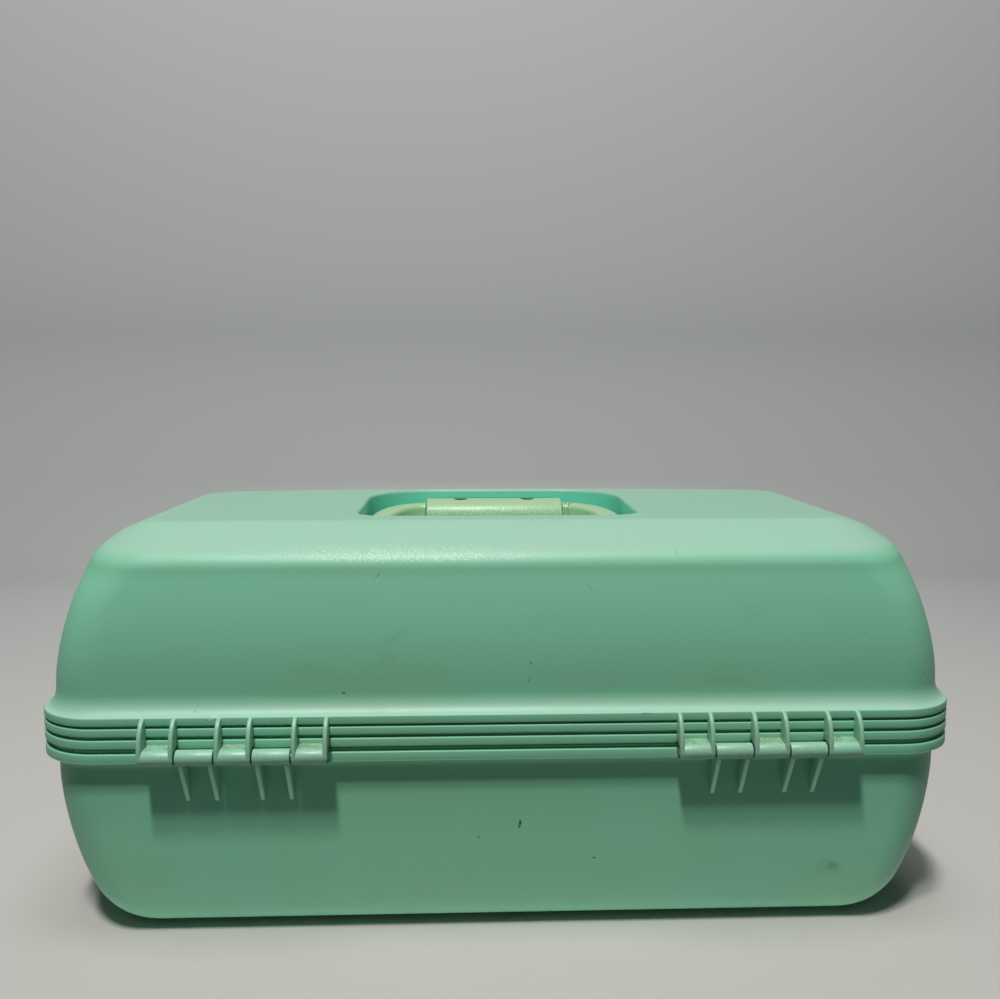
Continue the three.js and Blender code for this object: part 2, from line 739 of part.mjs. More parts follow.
// Latch plate hanging from its pin, with a hook under the catch and a finger tab that turns out.
function frontLatch() {
  const half = latchWidth / 2;
  const inner = -(rimFaceY + latchPlateReach);
  const outer = inner - latchPlateThickness;
  const bottom = partingZ - latchDrop;
  const tabReach = -(rimFaceY + hingeAxisReach + barrelRadius);
  const plate = [
    [inner, latchZ],
    [outer, latchZ],
    [outer, bottom + latchTabHeight],
    [tabReach, bottom],
    [tabReach + latchPlateThickness, bottom],
    [inner, bottom + latchTabHeight],
  ];
  const hookTop = baseBandBottom - fit;
  const hook = [
    [inner - root, hookTop],
    [inner - root, hookTop - hookHeight],
    [inner, hookTop - hookHeight],
    [-(rimFaceY + fit), hookTop - hookHeight / 2],
    [-(rimFaceY + fit), hookTop],
  ];
  const hookHalf = catchWidth / 2;
  const added = [rodX(latchKnuckleRadius, -half, half, latchY, latchZ), extrudeX(hook, -hookHalf, hookHalf)];
  const bore = rodX(latchPinRadius + fit, -half - overrun, half + overrun, latchY, latchZ);
  return carve(extrudeX(plate, -half, half), added, [bore]);
}

// Mirror frame: a rounded plate with a pocket in its lower face for the glass.
function mirrorFrame() {
  const outline = ring(mirrorFrameLength / 2, mirrorFrameWidth / 2, mirrorFrameCorner, 0);
  const pocket = ring(glassLength / 2 + fit, glassWidth / 2 + fit, glassCorner, 0);
  const pocketTop = mirrorBottom + fit + glassThickness + fit;
  const removed = [extrudeZ(pocket, mirrorBottom - overrun, pocketTop)];
  for (const [x, y] of mirrorScrewPlaces()) {
    removed.push(rodZ(mirrorScrewRadius + fit, x, y, mirrorBottom - overrun, mirrorTop + overrun));
    const seat = mirrorBottom + mirrorScrewHeadHeight + fit;
    removed.push(rodZ(mirrorScrewHeadRadius + fit, x, y, mirrorBottom - overrun, seat));
  }
  return carve(extrudeZ(outline, mirrorBottom, mirrorTop), [], removed);
}

function mirrorGlass() {
  const outline = ring(glassLength / 2, glassWidth / 2, glassCorner, 0);
  return extrudeZ(outline, mirrorBottom + fit, mirrorBottom + fit + glassThickness);
}

// Tray: an open box with two rows of pockets and an ear at each end for the lid pivot.
function tray() {
  const halfX = trayLength / 2;
  const middleY = (trayRear - trayFront) / 2;
  const halfY = (trayRear + trayFront) / 2;
  const place = (points) => points.map((point) => point.add(new THREE.Vector3(0, middleY, 0)));
  const outer = extrudeZ(place(ring(halfX, halfY, trayCorner, 0)), trayFloorZ, trayTop);
  const pocketCorner = trayCorner - trayEndWall;
  const inside = place(ring(halfX - trayEndWall, halfY - trayWall, pocketCorner, 0));
  const floor = trayFloorZ + trayWall;
  const dividerTop = trayTop - trayDividerDrop;
  const added = [];
  const inner = halfX - trayEndWall + root;
  added.push(block(-inner, inner, trayRowWall, trayRowWall + trayWall, floor - root, dividerTop));
  const rows = [
    [trayFrontPockets, -trayFront + root, trayRowWall + root],
    [trayRearPockets, trayRowWall + root, trayRear - root],
  ];
  for (const [pockets, fromY, toY] of rows) {
    for (let divider = 1; divider < pockets; divider += 1) {
      const x = -halfX + trayLength * divider / pockets;
      added.push(block(x - trayWall / 2, x + trayWall / 2, fromY, toY, floor - root, dividerTop));
    }
  }
  const removed = [];
  for (const side of [-1, 1]) {
    const ear = [
      [trayPivotY - linkRadius, trayTop - root],
      [trayPivotY + linkRadius, trayTop - root],
      ...arc(trayPivotY, trayPivotZ, linkRadius, 0, 180, cornerSteps),
    ];
    const [earFrom, earTo] = sided(side, halfX - trayEndWall, halfX);
    added.push(extrudeX(ear, earFrom, earTo));
    const [from, to] = sided(side, halfX - trayEndWall - overrun, halfX + overrun);
    removed.push(rodX(linkPinRadius + fit, from, to, trayPivotY, trayPivotZ));
    removed.push(rodX(linkPinRadius + fit, from, to, armTipY, armTipZ));
  }
  const shell = carve(outer, [], [extrudeZ(inside, floor, trayTop + overrun)]);
  return carve(shell, added, removed);
}

// Cantilever arm of one side, pivot at the origin: a flat link with round ends and a bore at each pivot.
function trayArm(side) {
  const lean = THREE.MathUtils.radToDeg(Math.atan2(crankRise, -crankReach));
  const outline = [
    ...arc(0, 0, linkRadius, lean + 90, lean + 270, cornerSteps),
    ...arc(-crankReach, crankRise, linkRadius, lean - 90, lean + 90, cornerSteps),
  ];
  const [from, to] = sided(side, armInner, armOuter);
  const bores = [[0, 0], [-crankReach, crankRise]].map(([y, z]) => (
    rodX(linkPinRadius + fit, from - overrun, to + overrun, y, z)
  ));
  return carve(extrudeX(outline, from, to), [], bores);
}

const mint = 0x93c9ae;
const paleMint = 0xa9cfab;
const steel = 0x9a9c98;
const glassGrey = 0xc4cdd2;

function material(color, roughness, metalness = 0) {
  return new THREE.MeshStandardMaterial({ color, roughness, metalness });
}

function place(parent, name, geometry, finish, x = 0, y = 0, z = 0) {
  const mesh = new THREE.Mesh(geometry, finish);
  mesh.name = name;
  mesh.position.set(x, y, z);
  parent.add(mesh);
  return mesh;
}

const plasticRoughness = 0.5;
const steelRoughness = 0.4;
const glassRoughness = 0.05;
const plastic = (color = mint) => material(color, plasticRoughness);
const metal = () => material(steel, steelRoughness, 1);

const group = new THREE.Group();
const base = new THREE.Group();
const lid = new THREE.Group();
const handle = new THREE.Group();
const tracks = new THREE.Group();
group.add(base, lid, tracks);
lid.add(handle);

place(base, 'base_shell', baseShell(), plastic());
place(lid, 'lid_shell', lidShell(), plastic());
place(handle, 'handle_bow', handleBow(), plastic(paleMint));
place(handle, 'grip_upper', gripHalf(1), plastic(paleMint));
place(handle, 'grip_lower', gripHalf(-1), plastic(paleMint));
place(lid, 'front_latch', frontLatch(), plastic());
const latchPinLength = latchWidth + latchLugThickness * 2;
const latchPin = plainPin(latchPinRadius, latchPinLength);
place(lid, 'latch_pin', latchPin, metal(), -latchPinLength / 2, latchY, latchZ);
place(lid, 'mirror_frame', mirrorFrame(), plastic());
place(lid, 'mirror_glass', mirrorGlass(), material(glassGrey, glassRoughness, 1));
mirrorScrewPlaces().forEach(([x, y], i) => {
  const shape = screw(mirrorScrewRadius, mirrorScrewLength, mirrorScrewHeadRadius, mirrorScrewHeadHeight);
  const turned = shape.rotateX(Math.PI);
  place(lid, `mirror_screw_${i + 1}`, turned, metal(), x, y, mirrorBottom);
});
place(tracks, 'tray', tray(), plastic(paleMint));

const hingePinLength = knucklePitch * (lidKnuckles - 1) + (lidKnuckleHalf - fit) * 2;
const gripScrewLength = gripHeight - gripScrewSink - gripScrewHeadHeight - gripScrewEndSkin - fit;
const gripScrewTop = gripZ + gripHeight / 2 - gripScrewSink + fit;
const handlePinLength = handlePinEngagement + (wellWidth - handleSpan - armWidth) / 2 + wellWall + fit;
for (const [side, hand] of [[-1, 'left'], [1, 'right']]) {
  const turn = side > 0 ? 0 : Math.PI;
  const out = (x) => side * x;
  const along = (geometry) => geometry.rotateZ(turn);
  const hingePin = plainPin(hingePinRadius, hingePinLength);
  const hingePinStart = out(hingeMiddle - hingePinLength / 2);
  place(base, `hinge_pin_${hand}`, along(hingePin), metal(), hingePinStart, hingeY, hingeZ);
  const gripScrew = screw(gripScrewRadius, gripScrewLength, gripScrewHeadRadius, gripScrewHeadHeight);
  place(handle, `grip_screw_${hand}`, gripScrew, metal(), out(gripScrewSpacing / 2), gripY, gripScrewTop);
  const handlePin = headedPin(handlePinRadius, handlePinLength, handlePinHeadRadius, handlePinHeadHeight);
  const handlePinSeat = out(wellWidth / 2 + wellWall + fit);
  const inward = handlePin.rotateZ(turn + Math.PI);
  place(lid, `handle_pin_${hand}`, inward, metal(), handlePinSeat, handleAxisY, handleAxisZ);
  place(tracks, `tray_arm_${hand}`, trayArm(side), plastic(), 0, 0, armAxisZ);
  const armPin = plainPin(linkPinRadius, linkThickness + linkPinSeat);
  place(base, `arm_base_pin_${hand}`, along(armPin), metal(), out(armInner + fit), 0, armAxisZ);
  const headSeat = trayLength / 2 - trayEndWall - fit;
  const tipPinLength = trayEndWall + linkGap + linkThickness;
  const tipPin = headedPin(linkPinRadius, tipPinLength, linkPinHeadRadius, linkPinHeadHeight);
  place(tracks, `arm_tray_pin_${hand}`, along(tipPin), metal(), out(headSeat), armTipY, armTipZ);
  const lidPinLength = fit + trayEndWall + linkPinSeat;
  const lidPin = headedPin(linkPinRadius, lidPinLength, linkPinHeadRadius, linkPinHeadHeight);
  place(lid, `lid_tray_pin_${hand}`, along(lidPin), metal(), out(headSeat), trayPivotY, trayPivotZ);
}

export default group;
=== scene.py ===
# Moulded cosmetic case with a hinged lid, seen from its hinges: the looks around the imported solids.
# The scene is in metres, +Z up, hinges towards +Y, latch towards -Y. Measures of parts are in millimetres,
# and those of textures and of distances in the shader groups in metres.
import math

import bmesh
import bpy
from mathutils import Matrix, Vector


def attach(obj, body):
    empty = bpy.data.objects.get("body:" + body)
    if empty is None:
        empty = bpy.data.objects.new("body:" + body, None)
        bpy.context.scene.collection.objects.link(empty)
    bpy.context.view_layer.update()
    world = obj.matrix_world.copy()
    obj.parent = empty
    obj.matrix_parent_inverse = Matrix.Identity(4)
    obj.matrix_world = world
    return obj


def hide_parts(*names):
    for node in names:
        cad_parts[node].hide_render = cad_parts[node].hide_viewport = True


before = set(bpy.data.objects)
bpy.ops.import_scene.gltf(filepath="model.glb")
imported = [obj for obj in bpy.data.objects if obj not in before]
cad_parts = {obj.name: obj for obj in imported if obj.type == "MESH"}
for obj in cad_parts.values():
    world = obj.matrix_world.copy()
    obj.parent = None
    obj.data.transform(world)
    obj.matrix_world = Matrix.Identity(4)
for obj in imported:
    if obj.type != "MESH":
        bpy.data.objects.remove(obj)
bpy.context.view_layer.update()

# View: the camera stands on the hinge side, a little above the lid and left of the middle, and looks slightly
# down, as a hand-held camera at a table does. Its lens and place follow from the outline of the case.
mm = 0.001
eye = Vector((13.25, 427.75, 201.89)) * mm
looks_down, looks_aside = math.radians(6.44), math.radians(-2.0)
lens_length, sensor_width = 34.93, 36.0
scene = bpy.context.scene


def placed(name, data):
    """New object of the data, in the scene."""
    thing = bpy.data.objects.new(name, data)
    scene.collection.objects.link(thing)
    return thing


def way_to(azimuth, height):
    """Direction from the case at an angle aside from its hinge side and an angle upwards."""
    across = math.cos(height)
    return Vector((math.sin(azimuth) * across, math.cos(azimuth) * across, math.sin(height)))


camera = placed("camera", bpy.data.cameras.new("camera"))
camera.data.lens, camera.data.sensor_width = lens_length, sensor_width
ahead = -way_to(-looks_aside, looks_down)
rightward = Vector((-math.cos(looks_aside), -math.sin(looks_aside), 0))
turned = Matrix((rightward, rightward.cross(ahead), -ahead)).transposed()
camera.matrix_world = Matrix.Translation(eye) @ turned.to_4x4()
scene.camera = camera

# Studio: a pale sheet under the case that sweeps up behind it, greyer away from it. Two lamps behind the
# camera cast shadows down the hinge side, a wide one hangs overhead in a dim surround, and a soft fill for
# the latch side stands in front of the sheet's bend, unseen itself and in reflections.
sheet_half_width, sheet_front, sheet_bend, sheet_back, sheet_top = 2600, 2600, -620, -900, 2300
bend_steps, sheet_roughness, sheet_gloss = 24, 0.9, 0.1
sheet_pale, sheet_grey, sheet_high = (0.525, 0.505, 0.49, 1), (0.47, 0.48, 0.48, 1), (0.605, 0.61, 0.625, 1)
case_foot, bounce_reach = (0.15, 0.08, 0), (0.010, 0.06)
bounce_near, bounce_far = (0.88, 0.88, 0.85, 1), (0.05, 0.085, 0.07, 1)
surround_colour, surround_strength = (0.52, 0.74, 0.66, 1), 0.07
lamp_aim = Vector((0, 60, 80)) * mm
lamps = {
    # name: (azimuth to the left of the camera, height angle, distance, width, depth, watts, colour)
    "lamp_high": (17, 69, 2100, 150, 150, 18.5, (1.0, 0.985, 0.95)),
    "lamp_low": (13, 64, 2100, 150, 150, 15.5, (1.0, 0.99, 0.965)),
    "lamp_overhead": (0, 84, 1900, 900, 600, 9.4, (1.0, 1.0, 0.985)),
    "lamp_front": (180, 16, 850, 500, 300, 1.1, (1.0, 0.985, 0.96)),
}


def feed(tree, socket, value):
    """Wires the value to the socket where it is a socket itself, and else sets it."""
    if isinstance(value, bpy.types.NodeSocket):
        tree.links.new(value, socket)
    else:
        socket.default_value = value


def laid(tree, kind, wired=None, **settings):
    """A node of the tree with its settings and its inputs."""
    node = tree.nodes.new(kind)
    for label, value in settings.items():
        setattr(node, label, value)
    for label, value in (wired or {}).items():
        feed(tree, node.inputs[label], value)
    return node


def reckoned(tree, kind, *values):
    return laid(tree, "ShaderNodeMath", dict(enumerate(values)), operation=kind).outputs[0]


def product(tree, first, *others):
    for other in others:
        first = reckoned(tree, "MULTIPLY", first, other)
    return first


def vector_of(tree, kind, *values):
    """Outputs of a vector math node: the vector first, and the length as Value."""
    return laid(tree, "ShaderNodeVectorMath", dict(enumerate(values)), operation=kind).outputs


def spread(tree, value, low, high, to_low=0.0, to_high=1.0):
    """The value mapped from one range to another with soft ends."""
    wired = {"Value": value, "From Min": low, "From Max": high, "To Min": to_low, "To Max": to_high}
    return laid(tree, "ShaderNodeMapRange", wired, interpolation_type="SMOOTHSTEP").outputs["Result"]


def blended(tree, share, colour, other):
    """The colour mixed with the other by the share."""
    return laid(tree, "ShaderNodeMix", {0: share, 6: colour, 7: other}, data_type="RGBA").outputs[2]


def place_on_piece(tree):
    return laid(tree, "ShaderNodeTexCoord").outputs["Object"]


def from_middle(tree):
    """Place on the piece with every part of it positive."""
    return vector_of(tree, "ABSOLUTE", place_on_piece(tree))[0]


def parts_of(tree, vector):
    return laid(tree, "ShaderNodeSeparateXYZ", {"Vector": vector}).outputs


def along(tree, axis):
    return parts_of(tree, place_on_piece(tree))[axis]


def rising(tree, axis, start, full):
    """Mask that rises between two places along an axis of the piece."""
    return spread(tree, along(tree, axis), start * mm, full * mm)


def falling(tree, axis, fade, end):
    """Mask that falls between two places along an axis of the piece."""
    return spread(tree, along(tree, axis), fade * mm, end * mm, 1.0, 0.0)


def band(tree, axis, start, full, fade, end):
    return product(tree, rising(tree, axis, start, full), falling(tree, axis, fade, end))


def new_finish(name):
    """New material, its tree and the inputs of its shader."""
    finish = bpy.data.materials.new(name)
    finish.use_nodes = True
    return finish, finish.node_tree, finish.node_tree.nodes["Principled BSDF"].inputs


scene.view_settings.view_transform = "Standard"
world = bpy.data.worlds.new("surround")
world.use_nodes = True
surround = world.node_tree.nodes["Background"]
surround.inputs["Color"].default_value = surround_colour
surround.inputs["Strength"].default_value = surround_strength
scene.world = world

reach = sheet_bend - sheet_back
profile = [(sheet_front, 0), (sheet_bend, 0)]
for step in range(1, bend_steps + 1):
    angle = step / bend_steps * math.pi / 2
    profile.append((sheet_bend - reach * math.sin(angle), reach * (1 - math.cos(angle))))
profile.append((sheet_back, sheet_top))
sheet_mesh = bpy.data.meshes.new("sheet")
sheet_points = [(side * sheet_half_width * mm, y * mm, z * mm) for y, z in profile for side in (-1, 1)]
sheet_faces = [(2 * i, 2 * i + 1, 2 * i + 3, 2 * i + 2) for i in range(len(profile) - 1)]
sheet_mesh.from_pydata(sheet_points, [], sheet_faces)
sheet_mesh.shade_smooth()
sheet_finish, tree, shader = new_finish("pale_sheet")
seen = blended(tree, rising(tree, "Y", -400, -60), sheet_grey, sheet_pale)
seen = blended(tree, rising(tree, "Z", 20, 400), seen, sheet_high)
# Painted bounce light and shade: rays that bounce off the sheet see it pale near the case's foot and dark
# green-grey farther off. The base's lower walls so get a strong painted bounce of light, and its shadows stay
# dark and green.
beyond = vector_of(tree, "SUBTRACT", from_middle(tree), case_foot)[0]
away = vector_of(tree, "LENGTH", vector_of(tree, "MAXIMUM", beyond, (0, 0, 0))[0])["Value"]
bounced = blended(tree, spread(tree, away, *bounce_reach), bounce_near, bounce_far)
scattered = laid(tree, "ShaderNodeLightPath").outputs["Is Diffuse Ray"]
feed(tree, shader["Base Color"], blended(tree, scattered, seen, bounced))
feed(tree, shader["Roughness"], sheet_roughness)
feed(tree, shader["Specular IOR Level"], sheet_gloss)
sheet_mesh.materials.append(sheet_finish)
placed("sheet", sheet_mesh)

for name, (azimuth, height, distance, width, depth, watts, colour) in lamps.items():
    light = bpy.data.lights.new(name, "AREA")
    light.shape, light.size, light.size_y = "RECTANGLE", width * mm, depth * mm
    light.energy, light.color = watts, colour
    away = way_to(math.radians(azimuth), math.radians(height))
    lamp = placed(name, light)
    lamp.location = lamp_aim + away * distance * mm
    lamp.rotation_mode = "QUATERNION"
    lamp.rotation_quaternion = (-away).to_track_quat("-Z", "Y")
    lamp.visible_camera, lamp.visible_glossy = False, name != "lamp_front"

# Moulded plastic: the shells are injection-moulded in one mint colour with a fine matt texture, which age has
# dulled and handling has marked. The groups here are the effects that several finishes share.
wave_size, wave_depth = 28, 0.00012
dust_colour, dust_share = (0.62, 0.66, 0.58, 1), 0.35
rough_drift, rubbed_smooth = 0.12, 0.09


def effect(name, takes, *gives):
    """New shader group with the inputs and their values, and with the named outputs."""
    tree = bpy.data.node_groups.new(name, "ShaderNodeTree")
    for label, value in takes.items():
        kind = "NodeSocketVector" if isinstance(value, tuple) else "NodeSocketFloat"
        tree.interface.new_socket(label, in_out="INPUT", socket_type=kind).default_value = value
    for label in gives:
        tree.interface.new_socket(label, in_out="OUTPUT", socket_type="NodeSocketFloat")
    return tree, laid(tree, "NodeGroupInput").outputs


def noise(tree, size, detail=2.0, rough=0.5):
    """Even noise whose grains are about the given size."""
    wired = {"Vector": place_on_piece(tree), "Scale": 1 / (size * mm), "Detail": detail, "Roughness": rough}
    return laid(tree, "ShaderNodeTexNoise", wired).outputs["Fac"]


def grains(tree, size, low, high, detail=2.0, rough=0.5, least=0.0, most=1.0):
    """Mask of patches about the given size, where the noise lies between two levels."""
    return spread(tree, noise(tree, size, detail, rough), low, high, least, most)


# Matt mould texture: fine pits over slow waves, as a height in metres.
mould_texture, ins = effect("mould_texture", {"Grain": 0.0005, "Depth": 0.00001}, "Height")
pits = laid(mould_texture, "ShaderNodeTexNoise", {
    "Vector": place_on_piece(mould_texture), "Scale": reckoned(mould_texture, "DIVIDE", 1.0, ins["Grain"]),
    "Detail": 1.5, "Roughness": 0.6,
}).outputs["Fac"]
waves = product(mould_texture, noise(mould_texture, wave_size, 1.0), wave_depth)
height = reckoned(mould_texture, "ADD", product(mould_texture, pits, ins["Depth"]), waves)
laid(mould_texture, "NodeGroupOutput", {"Height": height})

# Wear of the surface: slow changes of tone, rubbed patches and fine specks of dust.
handling, ins = effect("handling", {"Amount": 1.0}, "Tone", "Rubbed", "Specks")
signs = {
    "Tone": grains(handling, 70, 0.3, 0.7, 3.0, 0.5, -1.0),
    "Rubbed": grains(handling, 22, 0.55, 0.8, 5.0, 0.65),
    "Specks": product(handling, grains(handling, 1.6, 0.73, 0.79), grains(handling, 30, 0.45, 0.65)),
}
weighed = {label: product(handling, sign, ins["Amount"]) for label, sign in signs.items()}
laid(handling, "NodeGroupOutput", weighed)

# One mark at a place: an oval with ragged edges, turned in the plane of the hinge side.
mark, ins = effect("mark", {
    "Place": (0, 0, 0), "Turn": 0.0, "Length": 0.004, "Width": 0.002, "Depth": 0.01, "Ragged": 0.5,
}, "Mask")
offset = vector_of(mark, "SUBTRACT", place_on_piece(mark), ins["Place"])[0]
level = laid(mark, "ShaderNodeVectorRotate", {
    "Vector": offset, "Axis": (0.0, 1.0, 0.0), "Angle": ins["Turn"],
}, rotation_type="AXIS_ANGLE").outputs[0]
halves = laid(mark, "ShaderNodeCombineXYZ", {"X": ins["Length"], "Y": ins["Depth"], "Z": ins["Width"]})
away = vector_of(mark, "LENGTH", vector_of(mark, "DIVIDE", level, halves.outputs[0])[0])["Value"]
ragged = reckoned(mark, "SUBTRACT", noise(mark, 1.2, 3.0, 0.7), 0.5)
edge = reckoned(mark, "ADD", away, product(mark, ragged, ins["Ragged"], 3.0))
laid(mark, "NodeGroupOutput", {"Mask": spread(mark, edge, 0.55, 1.05, 1.0, 0.0)})


def mask_group(build):
    """Shader group with one mask, which the function lays out; it has the function's name."""
    tree, _ = effect(build.__name__, {}, "Mask")
    laid(tree, "NodeGroupOutput", {"Mask": build(tree)})
    return tree


def placed_group(tree, group, **values):
    """Outputs of the group as a node of the tree, with its inputs set by name."""
    return laid(tree, "ShaderNodeGroup", values, node_tree=group).outputs


def textured(tree, shader, grain, depth):
    """Gives the shader the normals of the mould texture."""
    height = placed_group(tree, mould_texture, Grain=grain, Depth=depth)["Height"]
    bump = laid(tree, "ShaderNodeBump", {"Height": height, "Strength": 1.0, "Distance": 1.0})
    feed(tree, shader["Normal"], bump.outputs["Normal"])


def plastic(name, colour, aged, roughness, grain, depth, wear=1.0, marks=(), grime_and_light=()):
    """Moulded plastic: its colour drifts to the aged one, and marks, grime and painted light lie on it."""
    finish, tree, shader = new_finish(name)
    worn = placed_group(tree, handling, Amount=wear)
    tint = blended(tree, spread(tree, worn["Tone"], -1.0, 1.0), colour, aged)
    tint = blended(tree, product(tree, worn["Specks"], dust_share), tint, dust_colour)
    for overlay_colour, strength, (turn, length, width), place in marks:
        spot = placed_group(tree, mark, Place=Vector(place) * mm, Turn=math.radians(turn),
                            Length=length * mm, Width=width * mm)
        tint = blended(tree, product(tree, spot["Mask"], strength), tint, overlay_colour)
    for group, overlay_colour in grime_and_light:
        tint = blended(tree, placed_group(tree, group)["Mask"], tint, overlay_colour)
    feed(tree, shader["Base Color"], tint)
    drift = product(tree, reckoned(tree, "SUBTRACT", noise(tree, 9, 3.0), 0.5), rough_drift)
    rough = reckoned(tree, "ADD", drift, roughness)
    rough = reckoned(tree, "SUBTRACT", rough, product(tree, worn["Rubbed"], rubbed_smooth))
    feed(tree, shader["Roughness"], rough)
    textured(tree, shader, grain, depth)
    return finish


@mask_group
def aged_top(tree):
    """The flat of the lid's top has greyed and gathered dust, up to its edges."""
    across = band(tree, "X", -139.5, -135.5, 135.5, 139.5)
    flat = product(tree, band(tree, "Y", -53.5, -49.5, 49.5, 53.5), across)
    beside = spread(tree, parts_of(tree, from_middle(tree))["X"], 0.062, 0.070)
    ends = product(tree, beside, rising(tree, "Z", 143, 146))
    level = reckoned(tree, "MAXIMUM", rising(tree, "Z", 150.5, 151.2), ends)
    return product(tree, flat, level, 0.9)


@mask_group
def painted_well_bounce(tree):
    """Painted bounce light: the well under the handle is painted a brighter, stronger mint up to its rising
    rim, for the light thrown between its green walls.
    """
    below_rim = reckoned(tree, "ADD", along(tree, "Z"), product(tree, along(tree, "Y"), 0.0175))
    across = band(tree, "X", -60.0, -59.2, 59.2, 60.0)
    inside = product(tree, across, band(tree, "Y", -50.8, -50.0, 38.8, 39.6))
    lower = spread(tree, below_rim, 0.1505, 0.1515, 1.0, 0.0)
    return product(tree, inside, lower, rising(tree, "Z", 129, 130))


@mask_group
def painted_wall_light(tree):
    """Painted light: the lid's walls are painted paler towards their shoulders, where light from above falls
    more, and the paleness fades out under the shoulder's round.
    """
    return product(tree, band(tree, "Z", 96, 122, 132, 139), 0.75)


def shoulder_glint_band(tree):
    """Mask of the left half of the rear shoulder, where the highlight on the grain is painted as glints."""
    return product(tree, band(tree, "Z", 139.0, 141.2, 143.0, 146.5), rising(tree, "Y", 70, 73),
                   band(tree, "X", -30, 25, 45, 105))


# Painted highlight: pale glints of the grain along the rear shoulder.
@mask_group
def painted_glints(tree):
    return product(tree, shoulder_glint_band(tree), grains(tree, 0.55, 0.50, 0.64, 2.0, 0.6), 0.7)


# Painted highlight: duller points among the glints, back towards plain mint.
@mask_group
def painted_dull_points(tree):
    return product(tree, shoulder_glint_band(tree), grains(tree, 0.9, 0.60, 0.72, 2.0, 0.6), 0.35)


@mask_group
def sheen_and_dust_faces(tree):
    """Partly dust, partly painted sheen and light: the lid's slopes and the ledge over its rim, which face up
    to the lamps, are painted paler.
    """
    past = parts_of(tree, vector_of(tree, "SUBTRACT", from_middle(tree), (0.12, 0.05, 0))[0])
    round_well = spread(tree, reckoned(tree, "MAXIMUM", past["X"], past["Y"]), -0.003, 0.003)
    slope = product(tree, rising(tree, "Z", 140.5, 144.5), round_well)
    either = reckoned(tree, "MAXIMUM", slope, band(tree, "Z", 85.7, 86.2, 88.5, 92.5))
    return product(tree, either, grains(tree, 25, 0.25, 0.75, 4.0, 0.6, 0.65))


# Colours of the lid's slopes, partly painted sheen with dust, and of its aged top.
sheen_and_dust_colour, aged_top_colour = (0.345, 0.575, 0.45, 1), (0.285, 0.51, 0.395, 1)
# Painted light colours: the paler upper walls of the lid, and the glints on the rear shoulder's grain.
painted_wall_light_colour, glint_colour = (0.275, 0.69, 0.475, 1), (0.78, 0.92, 0.80, 1)
# Painted bounce light: the brighter, stronger mint of the well under the handle.
well_bounce_colour = (0.17, 0.74, 0.55, 1)
mint, mint_aged = (0.235, 0.60, 0.41, 1), (0.24, 0.58, 0.375, 1)
dirt, soot, rust = (0.045, 0.075, 0.05, 1), (0.012, 0.02, 0.014, 1), (0.16, 0.065, 0.02, 1)
shell_roughness, shell_grain, shell_depth = 0.47, 0.00055, 0.000045

# Marks of handling on the shells: (stain, strength, (degrees turned, half length, half width), place).
stained, smudged, bared = (0.10, 0.25, 0.10, 1), (0.13, 0.28, 0.16, 1), (0.62, 0.75, 0.62, 1)
shell_marks = (
    (soot, 0.9, (95, 1.2, 0.6), (-6.1, 86.2, 43.5)),
    (soot, 0.8, (70, 0.9, 0.45), (-5.7, 86.2, 41.9)),
    (soot, 0.75, (0, 0.8, 0.4), (-33.7, 86.0, 29.3)),
    (dirt, 0.4, (80, 0.5, 0.3), (-32.0, 86.0, 28.8)),
    (stained, 0.35, (10, 2.6, 2.0), (-123.5, 85.6, 24.2)),
    (stained, 0.15, (0, 6.0, 4.5), (-122.0, 85.6, 23.5)),
    (soot, 0.6, (51, 2.1, 0.4), (-31.5, 82.8, 130.8)),
    (soot, 0.5, (130, 1.7, 0.4), (45.4, 81.8, 135.4)),
    (dirt, 0.45, (60, 1.4, 0.4), (-63.7, 79.7, 143.0)),
    (soot, 0.55, (90, 0.55, 0.45), (-9.9, 85.9, 103.7)),
    (soot, 0.4, (100, 0.8, 0.35), (-9.2, 86.2, 97.4)),
    (soot, 0.5, (0, 0.5, 0.4), (100.8, 82.8, 130.7)),
    (soot, 0.65, (0, 0.55, 0.45), (9.1, 86.2, 38.1)),
    (soot, 0.5, (0, 0.5, 0.5), (-155.4, 86.1, 98.1)),
    (dirt, 0.5, (0, 0.6, 0.4), (-150.2, 85.2, 113.7)),
    (dirt, 0.5, (0, 0.5, 0.5), (-132.4, 85.2, 113.5)),
    (smudged, 0.28, (128, 4.8, 1.6), (38.0, 85.1, 114.6)),
    (smudged, 0.1, (90, 7.0, 4.0), (42.0, 85.6, 108.0)),
    (smudged, 0.12, (20, 6.0, 3.5), (145.3, 83.5, 126.5)),
    (smudged, 0.1, (0, 7.0, 3.5), (68.2, 86.0, 101.9)),
    (smudged, 0.1, (0, 8.0, 3.0), (-81.3, 86.2, 96.7)),
    (smudged, 0.12, (0, 6.0, 3.0), (128.1, 85.3, 22.0)),
    (soot, 0.75, (0, 0.9, 0.4), (57.6, 86.2, 93.3)),
    (dirt, 0.35, (0, 5.0, 1.6), (46.1, 90.0, 87.6)),
    (soot, 0.6, (0, 2.4, 0.4), (-51.5, 90.7, 86.0)),
    (bared, 0.8, (150, 2.2, 0.45), (103.5, 90.7, 86.2)),
    (soot, 0.85, (15, 0.8, 0.45), (110.5, 89.9, 87.7)),
)

